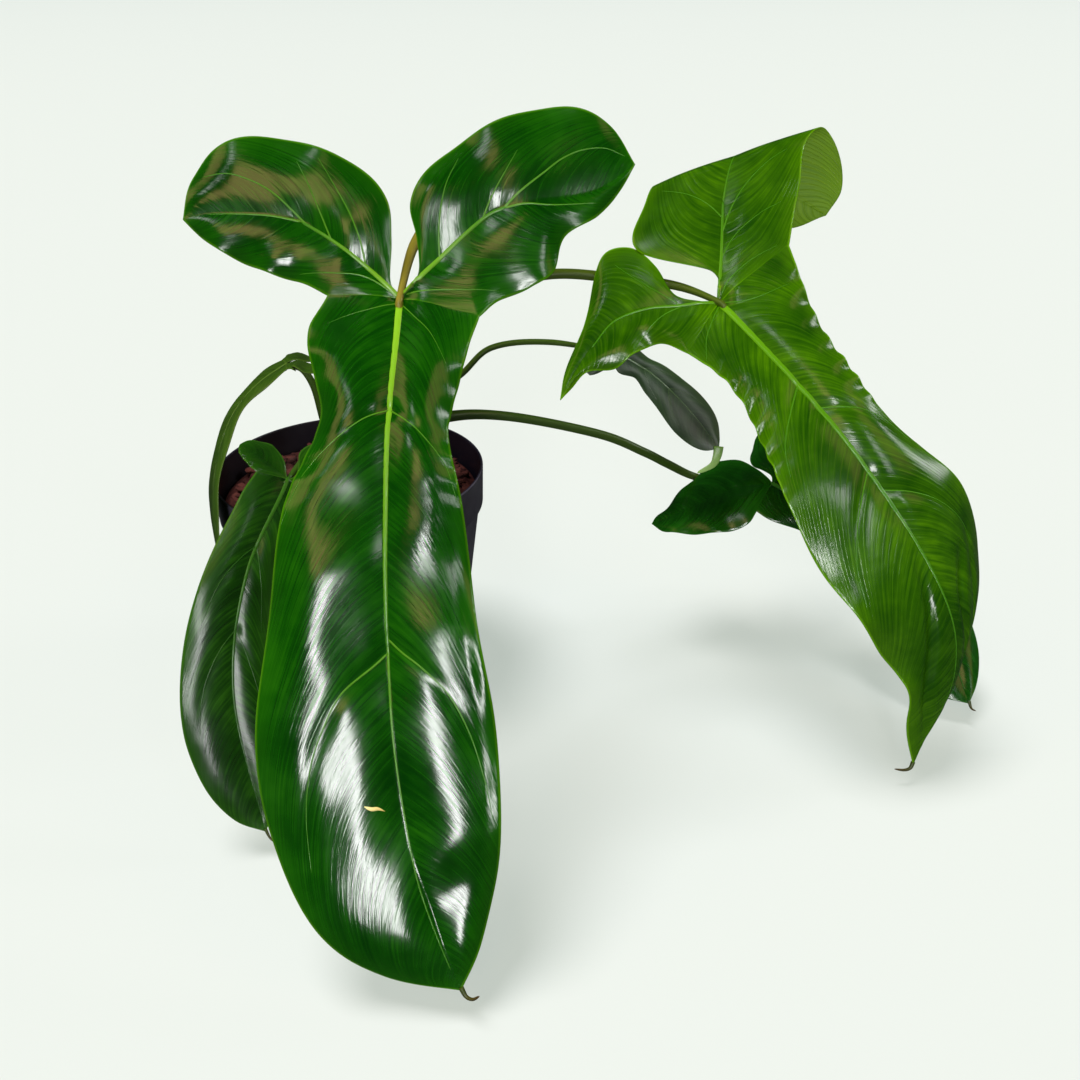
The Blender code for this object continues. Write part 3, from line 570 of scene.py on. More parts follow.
def large_relief(leaf, patch):
    """Bulging halves, drooping edges -droop t^2 and an edge ripple wave t^3 sin.

    A bulge rises as sin(pi t / 2c) out to its crown c and falls as cos(pi (t - c) / 2(1 - c)) beyond.
    """
    along, t = patch.along, np.abs(patch.across)
    is_lobe = patch.crease == 0
    size = leaf.width if is_lobe else EAR_SHARE * leaf.ears[0]
    fade = smooth_step(along / CREASE_FADE) if is_lobe else smooth_step((along - patch.crease) / EAR_FADE)
    full = fade if is_lobe else smooth_step(along / EAR_SWELL)
    end = smooth_step((1 - along) / TIP_FADE)
    phase = np.where(patch.across < 0, 0.0, RIGHT_PHASE)
    ripple = np.sin(2 * math.pi * leaf.ripples * along + phase)
    forms = zip(*leaf.crowns) if is_lobe else zip(EAR_CROWN, EAR_CROWN)
    crown, bulge, droop = [np.where(patch.across < 0, *pair) for pair in forms]
    rise, fall = np.minimum(t / crown, 1), np.maximum((t - crown) / (1 - crown), 0)
    swell = full * bulge * np.sin(math.pi / 2 * rise) * np.cos(math.pi / 2 * fall) * end
    edge = leaf.wave * ripple * t**3 - droop * t**2
    if is_lobe:
        on_waist = smooth_step(along / FRILL_START) * smooth_step((FRILL_END - along) / FRILL_FADE)
        wander = np.sin(FRILL_WANDER * along)
        edge += leaf.frill * on_waist * t**5 * np.sin(FRILL_TURNS * along + wander + phase)
    return size * (swell + fade * edge * end)


def waves(points, wavelength, seed, count=14):
    """A smooth random surface: the mean of count sine waves of about one wavelength, in all directions."""
    draw = np.random.default_rng(seed)
    angle, phase = draw.uniform(0, 2 * math.pi, (2, count))
    length = wavelength * draw.uniform(0.75, 1.35, count)
    run = points @ np.stack([np.cos(angle), np.sin(angle)]) / length
    return np.sin(2 * math.pi * run + phase).sum(axis=-1) / math.sqrt(count)


def distance_to(points, line):
    """Distance from each point to a polyline, and the share along it of the nearest place."""
    starts, steps = line[:-1], np.diff(line, axis=0)
    offset = points[:, None] - starts[None]
    reach = np.clip((offset * steps).sum(axis=2) / (steps**2).sum(axis=1), 0, 1)
    gap = np.linalg.norm(offset - reach[..., None] * steps, axis=2)
    nearest = gap.argmin(axis=1)
    rows = np.arange(len(points))
    return gap[rows, nearest], (nearest + reach[rows, nearest]) / len(steps)


def fine_relief(leaf, flat, plan, margin):
    """Furrows -depth exp(-(d/w)^2) along the veins, broad swells, ripples over the side veins and dimples."""
    scale = np.array([leaf.width, lobe_stretch(leaf)])
    inside = smooth_step(margin / (MARGIN_CALM * leaf.width))
    dimples = waves(flat, DIMPLE_LENGTH * leaf.width**0.5, DIMPLE_SEED)
    height = DIMPLE * leaf.width**0.5 * dimples * inside
    across = smooth_step(np.abs(plan[:, 1]) / (RIB_CALM * leaf.width))
    height += RIB_HEIGHT * across * inside * np.sin(2 * math.pi * plan[:, 0] / RIB_SPACING)
    for (row, column), swell in np.ndenumerate(np.array(leaf.relief).reshape(-1, RELIEF_COLUMNS)):
        x, y = RELIEF_START[0] + column * RELIEF_STEP[0], RELIEF_START[1] - row * RELIEF_STEP[1]
        gap = np.hypot(flat[:, 0] - x, flat[:, 1] - y)
        height += swell * np.exp(-((gap / RELIEF_REACH) ** 2)) * inside
    for x, y, swell, reach in leaf.swells:
        height += swell * np.exp(-((np.hypot(flat[:, 0] - x, flat[:, 1] - y) / reach) ** 2)) * inside
    for line, width, depth in leaf.creases:
        gap, share = distance_to(flat, even_path(np.array(line) * scale, LINE_POINTS))
        fade = np.sin(math.pi * np.clip(share, 0.02, 0.98)) ** 0.5
        height -= depth * fade * np.exp(-((gap / width) ** 2))
    for line, wide, narrow, depth in leaf.veins:
        gap, share = distance_to(flat, even_path(np.array(line) * scale, LINE_POINTS))
        on_ear = smooth_step((flat[:, 1] + 10) / 20)
        width = FURROW_WIDTH * (1 + EAR_WIDENS * on_ear) * leaf.width**0.5 + wide * leaf.width / 2
        full = depth * leaf.width * (1 - EAR_EASES * on_ear) * (1 - FURROW_RUNS_OUT * share)
        height -= full * np.exp(-((gap / width) ** 2))
    return height


def fold_back(points, heights):
    """Rolls what lies beyond the fold line backwards under the ear, round a small radius."""
    direction = np.array(FOLD_DIRECTION)
    normal = np.array([direction[1], -direction[0]])
    beyond = (points - np.array(FOLD_POINT)) @ normal
    turned = (beyond > 0) & (points[:, 0] > 0) & (points[:, 1] > 0)
    angle = np.minimum(beyond / FOLD_RADIUS, FOLD_ANGLE)
    rest = np.maximum(beyond - FOLD_RADIUS * FOLD_ANGLE, 0)
    reach = FOLD_RADIUS * np.sin(angle) + rest * math.cos(FOLD_ANGLE)
    depth = FOLD_RADIUS * (1 - np.cos(angle)) + rest * math.sin(FOLD_ANGLE)
    moved = points + (reach - beyond)[:, None] * normal
    return np.where(turned[:, None], moved, points), np.where(turned, heights - depth, heights)


lobe_relief = large_relief(LEAVES["leaf_front"], front_lobe)
print(f"relief of the front leaf's lobe: {lobe_relief.min():.1f} to {lobe_relief.max():.1f} mm")

# %% [markdown]
# ## Bending the blade
# The plan is laid on the leaf's spine curve: y becomes distance along the spine, x the way across, and the
# relief stands off it. This keeps every length of the blade, as real bending does. A lattice or curve
# modifier would do the same, but here the frame can also tilt each half of the blade on its own.

# %% From the plan to the air
def carry_to_spine(leaf, points, heights):
    """place(y) + x cos(tilt) across + (height - |x| sin(tilt)) upper, in metres."""
    path = smooth_path(leaf.spine)
    distance = arc_lengths(path) - arc_lengths(path)[PATH_SAMPLES]
    tangents = unit(np.gradient(path, axis=0))
    share = np.clip(distance / distance[-1], 0, 1)[:, None]
    across = (1 - share) * unit(np.array(leaf.across[0])) + share * unit(np.array(leaf.across[1]))
    across = unit(across - (across * tangents).sum(axis=1, keepdims=True) * tangents)
    upper = np.cross(tangents, across)

    def at(values):
        return np.stack([np.interp(-points[:, 1], distance, column) for column in values.T], axis=1)

    beyond_ears = np.minimum(-points[:, 1] - distance[0], 0)[:, None] * tangents[0]
    left_start, left_end, right_start, right_end = leaf.tilt
    down_lobe = smooth_step(-points[:, 1] / distance[-1]) ** 2
    tilt = np.where(points[:, 0] < 0, left_start + (left_end - left_start) * down_lobe,
                    right_start + (right_end - right_start) * down_lobe)
    sideways = points[:, 0] * np.cos(tilt)
    lift = heights - np.abs(points[:, 0]) * np.sin(tilt)
    offset = sideways[:, None] * unit(at(across)) + lift[:, None] * unit(at(upper))
    return (at(path) + beyond_ears + offset) * MM


def vertex_normals(points, faces):
    """The mean of the normals of the quads at each point, from each quad's diagonals."""
    corners = points[faces]
    face_normals = np.cross(corners[:, 2] - corners[:, 0], corners[:, 3] - corners[:, 1])
    normals = np.zeros_like(points)
    for corner in range(4):
        np.add.at(normals, faces[:, corner], face_normals)
    return unit(normals)


def border_edges(faces):
    """The directed edges that only one face uses."""
    edges = np.concatenate([faces[:, [i, (i + 1) % 4]] for i in range(4)])
    edges = edges[edges[:, 0] != edges[:, 1]]
    known = set(map(tuple, edges.tolist()))
    return np.array([edge for edge in known if (edge[1], edge[0]) not in known])


blade_tip = carry_to_spine(LEAVES["leaf_front"], np.array([[0.0, -LOBE_LENGTH]]), np.zeros(1))
print("tip of the front leaf in mm:", (blade_tip[0] / MM).round(1).tolist())

# %% The blade's two faces and its rounded margin
BLADE_THICKNESS = 0.5
KEEL_DEPTH = 1.6
KEEL_WIDTH = 2.6
KEEL_TAPER = 0.7
HALF_WIDTH = 40
MARGIN_ROUND = 0.22
UPPER, UNDER, VEIN, STALK, TIP, SCAR = range(6)


def add_blade(shape, leaf):
    """Top and bottom lie half a thickness off the bent plan, the bottom with a keel under each rib."""
    patches = blade_patches(leaf)
    sizes = np.cumsum([0] + [patch.across.size for patch in patches])
    flat = np.vstack([patch.flat.reshape(-1, 2) for patch in patches])
    plan = np.vstack([patch.plan.reshape(-1, 2) for patch in patches])
    margin = np.concatenate([patch.margin.ravel() for patch in patches])
    height = np.concatenate([large_relief(leaf, patch).ravel() for patch in patches])
    height += fine_relief(leaf, flat, plan, margin)
    share = np.concatenate([patch.across.ravel() for patch in patches])
    along = np.concatenate([patch.along.ravel() for patch in patches])
    quads = []
    for number, patch in enumerate(patches):
        faces = grid_quads(*patch.across.shape) + sizes[number]
        quads.append(faces[:, ::-1] if number == 0 else faces)
    quads = np.vstack(quads)
    corner_plan = plan[quads]
    _, first, index = np.unique(np.round(flat, 3), axis=0, return_index=True, return_inverse=True)
    quads = index.reshape(-1)[quads]
    flat, height, margin, share, along = (values[first] for values in (flat, height, margin, share, along))

    bent, raised = fold_back(flat, height) if leaf.folded else (flat, height)
    middle = carry_to_spine(leaf, bent, raised)
    normals = vertex_normals(middle, quads)
    from_rib = share * HALF_WIDTH * leaf.width / KEEL_WIDTH
    keel = KEEL_DEPTH * leaf.width**0.5 * np.exp(-(from_rib**2)) * (1 - KEEL_TAPER * along)
    top = middle + normals * BLADE_THICKNESS / 2 * MM
    bottom = middle - normals * ((BLADE_THICKNESS / 2 + keel) * MM)[:, None]
    edges = border_edges(quads)
    outward = np.zeros_like(middle)
    sideways = np.cross(middle[edges[:, 1]] - middle[edges[:, 0]], normals[edges[:, 0]])
    for end in range(2):
        np.add.at(outward, edges[:, end], sideways)
    on_rim = np.unique(edges)
    rim_number = np.zeros(len(middle), int)
    rim_number[on_rim] = np.arange(len(on_rim))
    rim = middle[on_rim] + unit(outward[on_rim]) * MARGIN_ROUND * MM

    top_first = shape.add_points(top, margin)
    bottom_first = shape.add_points(bottom, margin)
    rim_first = shape.add_points(rim, margin[on_rim])
    for faces, corners in whole_faces(quads, corner_plan):
        shape.add_faces(faces + top_first, UPPER, corners)
        shape.add_faces(faces[:, ::-1] + bottom_first, UNDER, corners[:, ::-1])
    a, b = edges[:, 0], edges[:, 1]
    shape.add_faces(np.stack([b + top_first, a + top_first, rim_number[a] + rim_first,
                              rim_number[b] + rim_first], axis=1), UPPER)
    shape.add_faces(np.stack([rim_number[b] + rim_first, rim_number[a] + rim_first, a + bottom_first,
                              b + bottom_first], axis=1), UNDER)
    return flat, top


# %% Veins that lie on the blade
NEAR_POINTS = 30
JUNCTION_RINGS = 4
VEIN_STEP = 1.3
VEIN_END = 0.3
VEIN_FLATNESS = 0.3
VEIN_LEAST = 0.08
VEIN_SUNK = 0.25
MIDRIB_OVER = 3
RIB_OVER = 1.8
MIDRIB_TONE, RIB_TONE, FINE_TONE = 0.0, 0.35, 0.8
SCAR_WIDTH = 0.9
SCAR_POINTS = 16


def lie_on(flat, points, places):
    """Place and normal of the surface at flat places: the plane that best fits the nearest points."""
    gap = np.linalg.norm(flat[None] - places[:, None], axis=2)
    near = np.argpartition(gap, NEAR_POINTS, axis=1)[:, :NEAR_POINTS]
    weight = 1 / (np.take_along_axis(gap, near, axis=1) + 0.3) ** 2
    offset = flat[near] - places[:, None]
    design = np.concatenate([np.ones(offset.shape[:2] + (1,)), offset], axis=2)
    left = np.einsum("nki,nk,nkj->nij", design, weight, design)
    right = np.einsum("nki,nk,nkc->nic", design, weight, points[near])
    fit = np.linalg.solve(left + 1e-9 * np.eye(3), right)
    return fit[:, 0], unit(np.cross(fit[:, 1], fit[:, 2]))


def add_veins(shape, leaf, flat, top):
    """Each vein is a flattened cord, mostly sunk in the blade, that thins from its width to its end's.

    Its tone rises from the midrib to the finest veins, which are darker. At the junction the normals are
    uneven, so the first rings take the next one's.
    """
    scale = np.array([leaf.width, lobe_stretch(leaf)])
    for line, wide, narrow, _ in leaf.veins:
        path = smooth_path(np.array(line) * scale)
        count = max(int(arc_lengths(path)[-1] / VEIN_STEP), 8)
        places, normals = lie_on(flat, top, even_path(np.array(line) * scale, count))
        normals[:JUNCTION_RINGS] = normals[JUNCTION_RINGS]
        share = np.linspace(0, 1, count)
        half = (wide + (narrow - wide) * share**0.8) / 2 * MM * leaf.width**0.7
        half[[0, -1]] *= VEIN_END
        height = VEIN_FLATNESS * half + VEIN_LEAST * MM
        rank = MIDRIB_TONE if wide > MIDRIB_OVER else RIB_TONE if wide > RIB_OVER else FINE_TONE
        tone = rank + (1 - rank) * share
        sunk = places - normals * VEIN_SUNK * height[:, None]
        shape.add_tube(sunk, half, height, normals, VEIN, tone, 10)
    for line in leaf.scars:
        places, normals = lie_on(flat, top, even_path(np.array(line) * scale, SCAR_POINTS))
        share = np.linspace(0, 1, SCAR_POINTS)
        half = MM * SCAR_WIDTH * np.sin(math.pi * np.clip(share, 0.03, 0.97)) ** 0.7 * (1.2 - 0.6 * share)
        shape.add_tube(places, half, 0.2 * half, normals, SCAR, share, 10)


# %% [markdown]
# ## Petioles
# A petiole is a long stalk, thick and sheathed where it clasps the stem and slim where it carries the
# blade. It could be a Blender curve with a bevel, but an array tube can change its radius anywhere.

# %% Petioles and drip tips
PETIOLE_ROWS = 110
PETIOLE_GRIP = (0.0, 4.0, 12.0)
GRIP_DEPTH = (0.9, 1.1, 0.8)
PETIOLE_END = (0.9, 0.75, 0.5)
PETIOLE_SLIMS = 0.4
SLIM_FROM = 0.7
SLIM_RUN = 0.25
CLASP_DROP = 6
TIP_SHARE = 0.7
TIP_ROWS = 20
STEM_PATH = ((0, 0, 87), (0, 0, 105), (0.5, 0, 123), (6, 1, 150), (15, 2, 178), (25, 3, 206))


def add_petiole(shape, leaf):
    """Radius: thin + (thick - thin) exp(-(s / sheath)^2) over the share s of the stalk's length.

    The stalk starts inside the stem, just below where it leaves it, and ends flattened under the midrib.
    """
    thick, thin = leaf.petiole_radius
    route = np.array(leaf.petiole, float)
    stem = smooth_path(STEM_PATH)
    nearest = stem[np.linalg.norm(stem - route[0] - [0, 0, -CLASP_DROP], axis=1).argmin()]
    clasp = route[0] * 0.5 + nearest * 0.5 + [0, 0, -2]
    below = -thin * np.array(GRIP_DEPTH)
    under = carry_to_spine(leaf, np.array([(0, -grip * leaf.width) for grip in PETIOLE_GRIP]), below)
    path = even_path(np.vstack([[clasp * MM], route[:-1] * MM, under]), PETIOLE_ROWS)
    share = np.linspace(0, 1, PETIOLE_ROWS)
    radius = MM * (thin + (thick - thin) * np.exp(-((share / leaf.sheath) ** 2)))
    radius *= 1 - PETIOLE_SLIMS * smooth_step((share - SLIM_FROM) / SLIM_RUN)
    radius[-len(PETIOLE_END):] *= np.array(PETIOLE_END)
    up = np.linalg.svd(path - path.mean(axis=0))[2][2]
    shape.add_tube(path, radius, radius, up, STALK, share, 20)


def add_drip_tip(shape, leaf):
    """The midrib runs on past the blade as a short hook that narrows to a point."""
    start = np.array(leaf.spine[-1], float)
    points = np.vstack([start + [0, 0.4, 1.2], start + np.array(leaf.tip) * TIP_SHARE]) * MM
    path = even_path(points, TIP_ROWS)
    share = np.linspace(0, 1, TIP_ROWS)
    radius = (0.15 + 0.85 * np.sqrt(share[::-1])) * MM * leaf.width**0.4
    shape.add_tube(path, radius * leaf.tip_spread, radius, np.array([0.1, 1, 0.2]), TIP, share, 10)


# %% [markdown]
# ## Materials
# A leaf's upper side is a waxy cuticle over green tissue: a clear, smooth and slightly uneven coat. Its
# underside is matte and paler. Colours are written as sRGB hex values and turned to linear ones.

# %% Colours and nodes
def linear(code):
    """An sRGB hex colour as linear RGBA: ((c + 0.055) / 1.055)^2.4, or c / 12.92 in the darkest part."""
    values = [int(code[i:i + 2], 16) / 255 for i in (1, 3, 5)]
    return [v / 12.92 if v < 0.04045 else ((v + 0.055) / 1.055) ** 2.4 for v in values] + [1.0]


def add(tree, kind, inputs=None, out=0, stops=(), **settings):
    """Adds a shader node with settings, links or sets its inputs, and returns one of its outputs.

    stops are the positions and hex colours of a colour ramp.
    """
    made = tree.nodes.new("ShaderNode" + kind)
    for name, value in settings.items():
        setattr(made, name, value)
    for name, value in (inputs or {}).items():
        if isinstance(value, bpy.types.NodeSocket):
            tree.links.new(value, made.inputs[name])
        else:
            made.inputs[name].default_value = value
    for _ in stops[2:]:
        made.color_ramp.elements.new(0.5)
    if stops:
        for element, (position, code) in zip(made.color_ramp.elements, stops):
            element.position = position
            element.color = linear(code)
    return made.outputs[out]


def new_material(name):
    """An empty material, its node tree and its output node."""
    material = bpy.data.materials.new(name)
    material.use_nodes = True
    tree = material.node_tree
    tree.nodes.clear()
    return material, tree, tree.nodes.new("ShaderNodeOutputMaterial")


print("sRGB #808080 in linear light:", round(linear("#808080")[0], 3))

# %% The waxy upper side of a blade
def plan_of(tree):
    """The plan coordinates, and their first one: millimetres along the rib to where a side vein starts."""
    plan = add(tree, "UVMap", uv_map="plan")
    return plan, add(tree, "SeparateXYZ", {0: plan})


# A noise has its scale in patches for each millimetre of the plan, or for each metre of the piece.
STREAK_SCALE = (0.42, 0.04, 1.0)  # 2.4 mm wide and 25 mm long
HAIR_SPACING = 1.3
VEIN_WAVER = 2.0


def side_veins(tree, plan, run):
    """Slow streaks along the side veins, the veins' own thin lines, and hair-fine lines between them."""
    stretched = add(tree, "Mapping", {"Vector": plan, "Scale": STREAK_SCALE})
    streak = add(tree, "TexNoise", {"Vector": stretched, "Scale": 1.0, "Detail": 4.0, "Roughness": 0.62})
    place = add(tree, "Math", {0: streak, 1: VEIN_WAVER, 2: run}, operation="MULTIPLY_ADD")
    near = add(tree, "Math", {0: place, 1: RIB_SPACING / 2}, operation="PINGPONG")
    line = add(tree, "MapRange", {"Value": near, "From Min": 0.1, "From Max": 0.6, "To Min": 1.0,
                                  "To Max": 0.0})
    hair = add(tree, "Math", {0: place, 1: HAIR_SPACING / 2}, operation="PINGPONG")
    return streak, line, hair


MOTTLE_SCALE = 34.0  # cloudy patches of 29 mm
PUCKER_SCALE = (0.34, 0.13, 1.0)  # puckers of 3 by 8 mm
PUCKER_DEPTH = 0.09
GRAIN_SCALE = 900.0  # cells are finer than this 1.1 mm, but would not show
GRAIN_DEPTH = 0.008
HAIR_DEPTH = 0.008
CRINKLE_CENTRE = (100.0, 18.0, 0.0)
CRINKLE_REACH = (42.0, 15.0, 1.0)
CRINKLE_SCALE = (0.55, 0.2, 1.0)  # wrinkles of 2 by 5 mm
CUTICLE_UNEVEN = 0.06


def cuticle(name, deep, middle, bright, rim, rib, roughness=0.1, ior=1.46, groove=0.01, crinkled=0.0):
    """Waxed leaf tissue: glossy, with side veins every 5 mm and hair-fine ones every 1.3 mm.

    The wax mirrors lights sharply, and the slight puckers under it break their edges.
    """
    material, tree, output = new_material(name)
    plan, run = plan_of(tree)
    streak, line, hair = side_veins(tree, plan, run)
    margin = add(tree, "Attribute", attribute_name="tone", out=2)
    place = add(tree, "TexCoord", out=3)
    mottle = add(tree, "TexNoise", {"Vector": place, "Scale": MOTTLE_SCALE, "Detail": 3.0,
                                    "Roughness": 0.6})
    mixed = add(tree, "Math", {0: mottle, 1: streak}, operation="MULTIPLY")
    tissue = add(tree, "ValToRGB", {"Fac": mixed}, stops=((0.14, deep), (0.27, middle), (0.48, bright)))
    veined = add(tree, "Mix", {0: add(tree, "Math", {0: line, 1: 0.1}, operation="MULTIPLY"),
                               6: tissue, 7: linear(rib)}, out=2, data_type="RGBA")
    near_edge = add(tree, "MapRange", {"Value": margin, "From Min": 1.0, "From Max": 9.0, "To Min": 0.3,
                                       "To Max": 0.0}, interpolation_type="SMOOTHSTEP")
    paler = add(tree, "Mix", {0: near_edge, 6: veined, 7: linear(bright)}, out=2, data_type="RGBA")
    edge = add(tree, "MapRange", {"Value": margin, "From Min": 0.0, "From Max": 1.2, "To Min": 0.8,
                                  "To Max": 0.0}, interpolation_type="SMOOTHSTEP")
    colour = add(tree, "Mix", {0: edge, 6: paler, 7: linear(rim)}, out=2, data_type="RGBA")

    pucker_place = add(tree, "Mapping", {"Vector": plan, "Scale": PUCKER_SCALE})
    puckers = add(tree, "TexNoise", {"Vector": pucker_place, "Scale": 1.0, "Detail": 3.0,
                                     "Roughness": 0.55, "Distortion": 0.8})
    grain = add(tree, "TexNoise", {"Vector": place, "Scale": GRAIN_SCALE, "Detail": 2.0})
    height = add(tree, "Math", {0: puckers, 1: PUCKER_DEPTH}, operation="MULTIPLY")
    if crinkled:
        away = add(tree, "VectorMath", {0: plan, 1: CRINKLE_CENTRE}, operation="SUBTRACT")
        away = add(tree, "VectorMath", {0: away, 1: CRINKLE_REACH}, operation="DIVIDE")
        inside = add(tree, "MapRange", {"Value": add(tree, "VectorMath", {0: away}, 1, operation="LENGTH"),
                                        "From Min": 0.4, "From Max": 1.0, "To Min": crinkled, "To Max": 0.0})
        skin_place = add(tree, "Mapping", {"Vector": plan, "Scale": CRINKLE_SCALE})
        skin = add(tree, "TexNoise", {"Vector": skin_place, "Scale": 1.0, "Detail": 3.0, "Distortion": 1.5})
        height = add(tree, "Math", {0: skin, 1: inside, 2: height}, operation="MULTIPLY_ADD")
    height = add(tree, "Math", {0: line, 1: -groove, 2: height}, operation="MULTIPLY_ADD")
    height = add(tree, "Math", {0: hair, 1: HAIR_DEPTH, 2: height}, operation="MULTIPLY_ADD")
    height = add(tree, "Math", {0: grain, 1: GRAIN_DEPTH, 2: height}, operation="MULTIPLY_ADD")
    bump = add(tree, "Bump", {"Height": height, "Distance": 0.0006, "Strength": 1.0})
    gloss = add(tree, "MapRange", {"Value": mottle, "From Min": 0.3, "From Max": 0.7,
                                   "To Min": roughness, "To Max": roughness + CUTICLE_UNEVEN})
    shader = add(tree, "BsdfPrincipled", {"Base Color": colour, "Roughness": gloss, "Normal": bump,
                                          "IOR": ior})
    tree.links.new(shader, output.inputs["Surface"])
    return material


def underside(name, tissue, vein):
    """The matte underside of a leaf, with its side veins slightly raised and paler."""
    material, tree, output = new_material(name)
    plan, run = plan_of(tree)
    streak, line, hair = side_veins(tree, plan, run)
    base = add(tree, "ValToRGB", {"Fac": streak}, stops=((0.3, tissue), (0.75, vein)))
    veined = add(tree, "Mix", {0: add(tree, "Math", {0: line, 1: 0.45}, operation="MULTIPLY"),
                               6: base, 7: linear(vein)}, out=2, data_type="RGBA")
    bump = add(tree, "Bump", {"Height": line, "Distance": 0.0002, "Strength": 1.0})
    shader = add(tree, "BsdfPrincipled", {"Base Color": veined, "Normal": bump, "Roughness": 0.5,
                                          "IOR": 1.3})
    tree.links.new(shader, output.inputs["Surface"])
    return material


STALK_STREAKS = (0.06, 9.0, 1.0)  # 17 mm long, nine round the stalk


def fading(name, first, last, roughness, streaks=0.0):
    """A smooth stalk or cord whose colour runs from first to last along it, with faint long streaks."""
    material, tree, output = new_material(name)
    share = add(tree, "Attribute", attribute_name="tone", out=2)
    stretched = add(tree, "Mapping", {"Vector": add(tree, "UVMap", uv_map="plan"), "Scale": STALK_STREAKS})
    streak = add(tree, "TexNoise", {"Vector": stretched, "Scale": 1.0, "Detail": 3.0})
    moved = add(tree, "Math", {0: streak, 1: streaks, 2: share}, operation="MULTIPLY_ADD")
    moved = add(tree, "Math", {0: moved, 1: streaks / 2}, operation="SUBTRACT")
    colour = add(tree, "ValToRGB", {"Fac": moved}, stops=((0.0, first), (1.0, last)))
    bump = add(tree, "Bump", {"Height": streak, "Distance": 0.0002, "Strength": 0.4})
    shader = add(tree, "BsdfPrincipled", {"Base Color": colour, "Normal": bump, "Roughness": roughness,
                                          "IOR": 1.45})
    tree.links.new(shader, output.inputs["Surface"])
    return material


# %% [markdown]
# ## The six living leaves
# Older leaves low on the stem are darker, and the bent leaf on the right is younger and a fresher green. One
# material for all of them would be simpler, but each leaf's age shows, so each has its own greens and gloss.

# %% Dress the leaves
DARK_TIP = fading("dry drip tip", "#2A3A08", "#3A2A10", 0.45)
PALE_TIP = fading("pale turned tip", "#4A6A2C", "#86A860", 0.4)
DRY_SCAR = fading("dry scar", "#D8C88A", "#A89048", 0.6)
LEAF_FINISH = {
    "leaf_front": (("#012600", "#063600", "#184E02", "#3A6A04", "#1E5A04"), ("#2E4A0C", "#46601A"),
                   ("#6E9C1A", "#2A5E0C"), ("#4A4A10", "#6E6420")),
    "leaf_right": (("#103400", "#224800", "#3C6600", "#508000", "#4A7808"), ("#466A07", "#5E800C"),
                   ("#4E7E06", "#2C6004"), ("#2A3604", "#3A4A10")),
    "leaf_left": (("#082004", "#0C2C04", "#24500A", "#2E5412", "#244A10"), ("#2A4416", "#3E5A24"),
                  ("#2A5410", "#163E08"), ("#22380A", "#2E4A12")),
    "leaf_side": (("#182A06", "#223A08", "#2E4A0C", "#384E14", "#344E12"), ("#263C0A", "#34501A"),
                  ("#40581C", "#2A4212"), ("#26380A", "#344A12")),
    "leaf_back": (("#0E1A0E", "#182A16", "#283C20", "#2A3E24", "#34442C"), ("#1E3016", "#344A2A"),
                  ("#364A2C", "#26381E"), ("#1E2C06", "#344A12")),
    "leaf_low": (("#022000", "#073002", "#104604", "#1C4C0A", "#1C4C0E"), ("#1E3810", "#304C1C"),
                 ("#2C5C16", "#184A10"), ("#22340A", "#2C400E")),
}
GLOSS = {"leaf_front": (0.12, 1.46, 0.01, 0.1), "leaf_right": (0.15, 1.42, 0.035), "leaf_left": (0.2, 1.36),
         "leaf_side": (0.42, 1.4), "leaf_back": (0.44, 1.4), "leaf_low": (0.16, 1.46)}
for leaf_name, (blade_colours, under_colours, vein_colours, stalk_colours) in LEAF_FINISH.items():
    leaf = LEAVES[leaf_name]
    shape = Shape()
    flat_points, top_points = add_blade(shape, leaf)
    add_veins(shape, leaf, flat_points, top_points)
    add_petiole(shape, leaf)
    add_drip_tip(shape, leaf)
    finish = [cuticle(f"waxed leaf of {leaf_name}", *blade_colours, *GLOSS[leaf_name]),
              underside(f"leaf underside of {leaf_name}", *under_colours),
              fading(f"vein of {leaf_name}", *vein_colours, 0.3),
              fading(f"petiole of {leaf_name}", *stalk_colours, 0.36, 0.5),
              PALE_TIP if leaf_name == "leaf_back" else DARK_TIP, DRY_SCAR]
    shape.build(f"living_{leaf_name}", finish, "leaf_blade", leaf_name)

# %% [markdown]
# ## The stem
# A climbing philodendron's stem is green-brown with a ring where each old leaf has dropped. A bump on a plain
# tube would show the rings from near by, but here they are part of the radius along the stem, so that they
# show on its outline too.

# %% Stem
STEM_RADIUS = 8.0
STEM_TIP_RADIUS = 4.5
STEM_ROWS = 220
SCAR_DEPTH = 0.9
SCAR_SPACING = 15
SCAR_RIDGE = 0.35
STEM_ROUND = 0.03
MIX_LEVEL = 120
BARK_SCALE = (240.0, 240.0, 90.0)  # patches of 4 by 11 mm


def bark(name, dark, light, roughness):
    """Rough woody tissue: patches of two browns or greens, drawn out along the piece.

    It is dull, and each piece's own tone makes it darker or paler than its neighbour.
    """
    material, tree, output = new_material(name)
    stretched = add(tree, "Mapping", {"Vector": add(tree, "TexCoord", out=3), "Scale": BARK_SCALE})
    patches = add(tree, "TexNoise", {"Vector": stretched, "Scale": 1.0, "Detail": 5.0, "Roughness": 0.65})
    tone = add(tree, "Attribute", attribute_name="tone", out=2)
    paler = add(tree, "Math", {0: tone, 1: 0.4}, operation="MULTIPLY")
    mixed = add(tree, "Math", {0: patches, 1: 0.6, 2: paler}, operation="MULTIPLY_ADD")
    colour = add(tree, "ValToRGB", {"Fac": mixed}, stops=((0.2, dark), (0.75, light)))
    bump = add(tree, "Bump", {"Height": patches, "Distance": 0.0008, "Strength": 0.8})
    shader = add(tree, "BsdfPrincipled", {"Base Color": colour, "Normal": bump, "Roughness": roughness,
                                          "IOR": 1.4})
    tree.links.new(shader, output.inputs["Surface"])
    return material


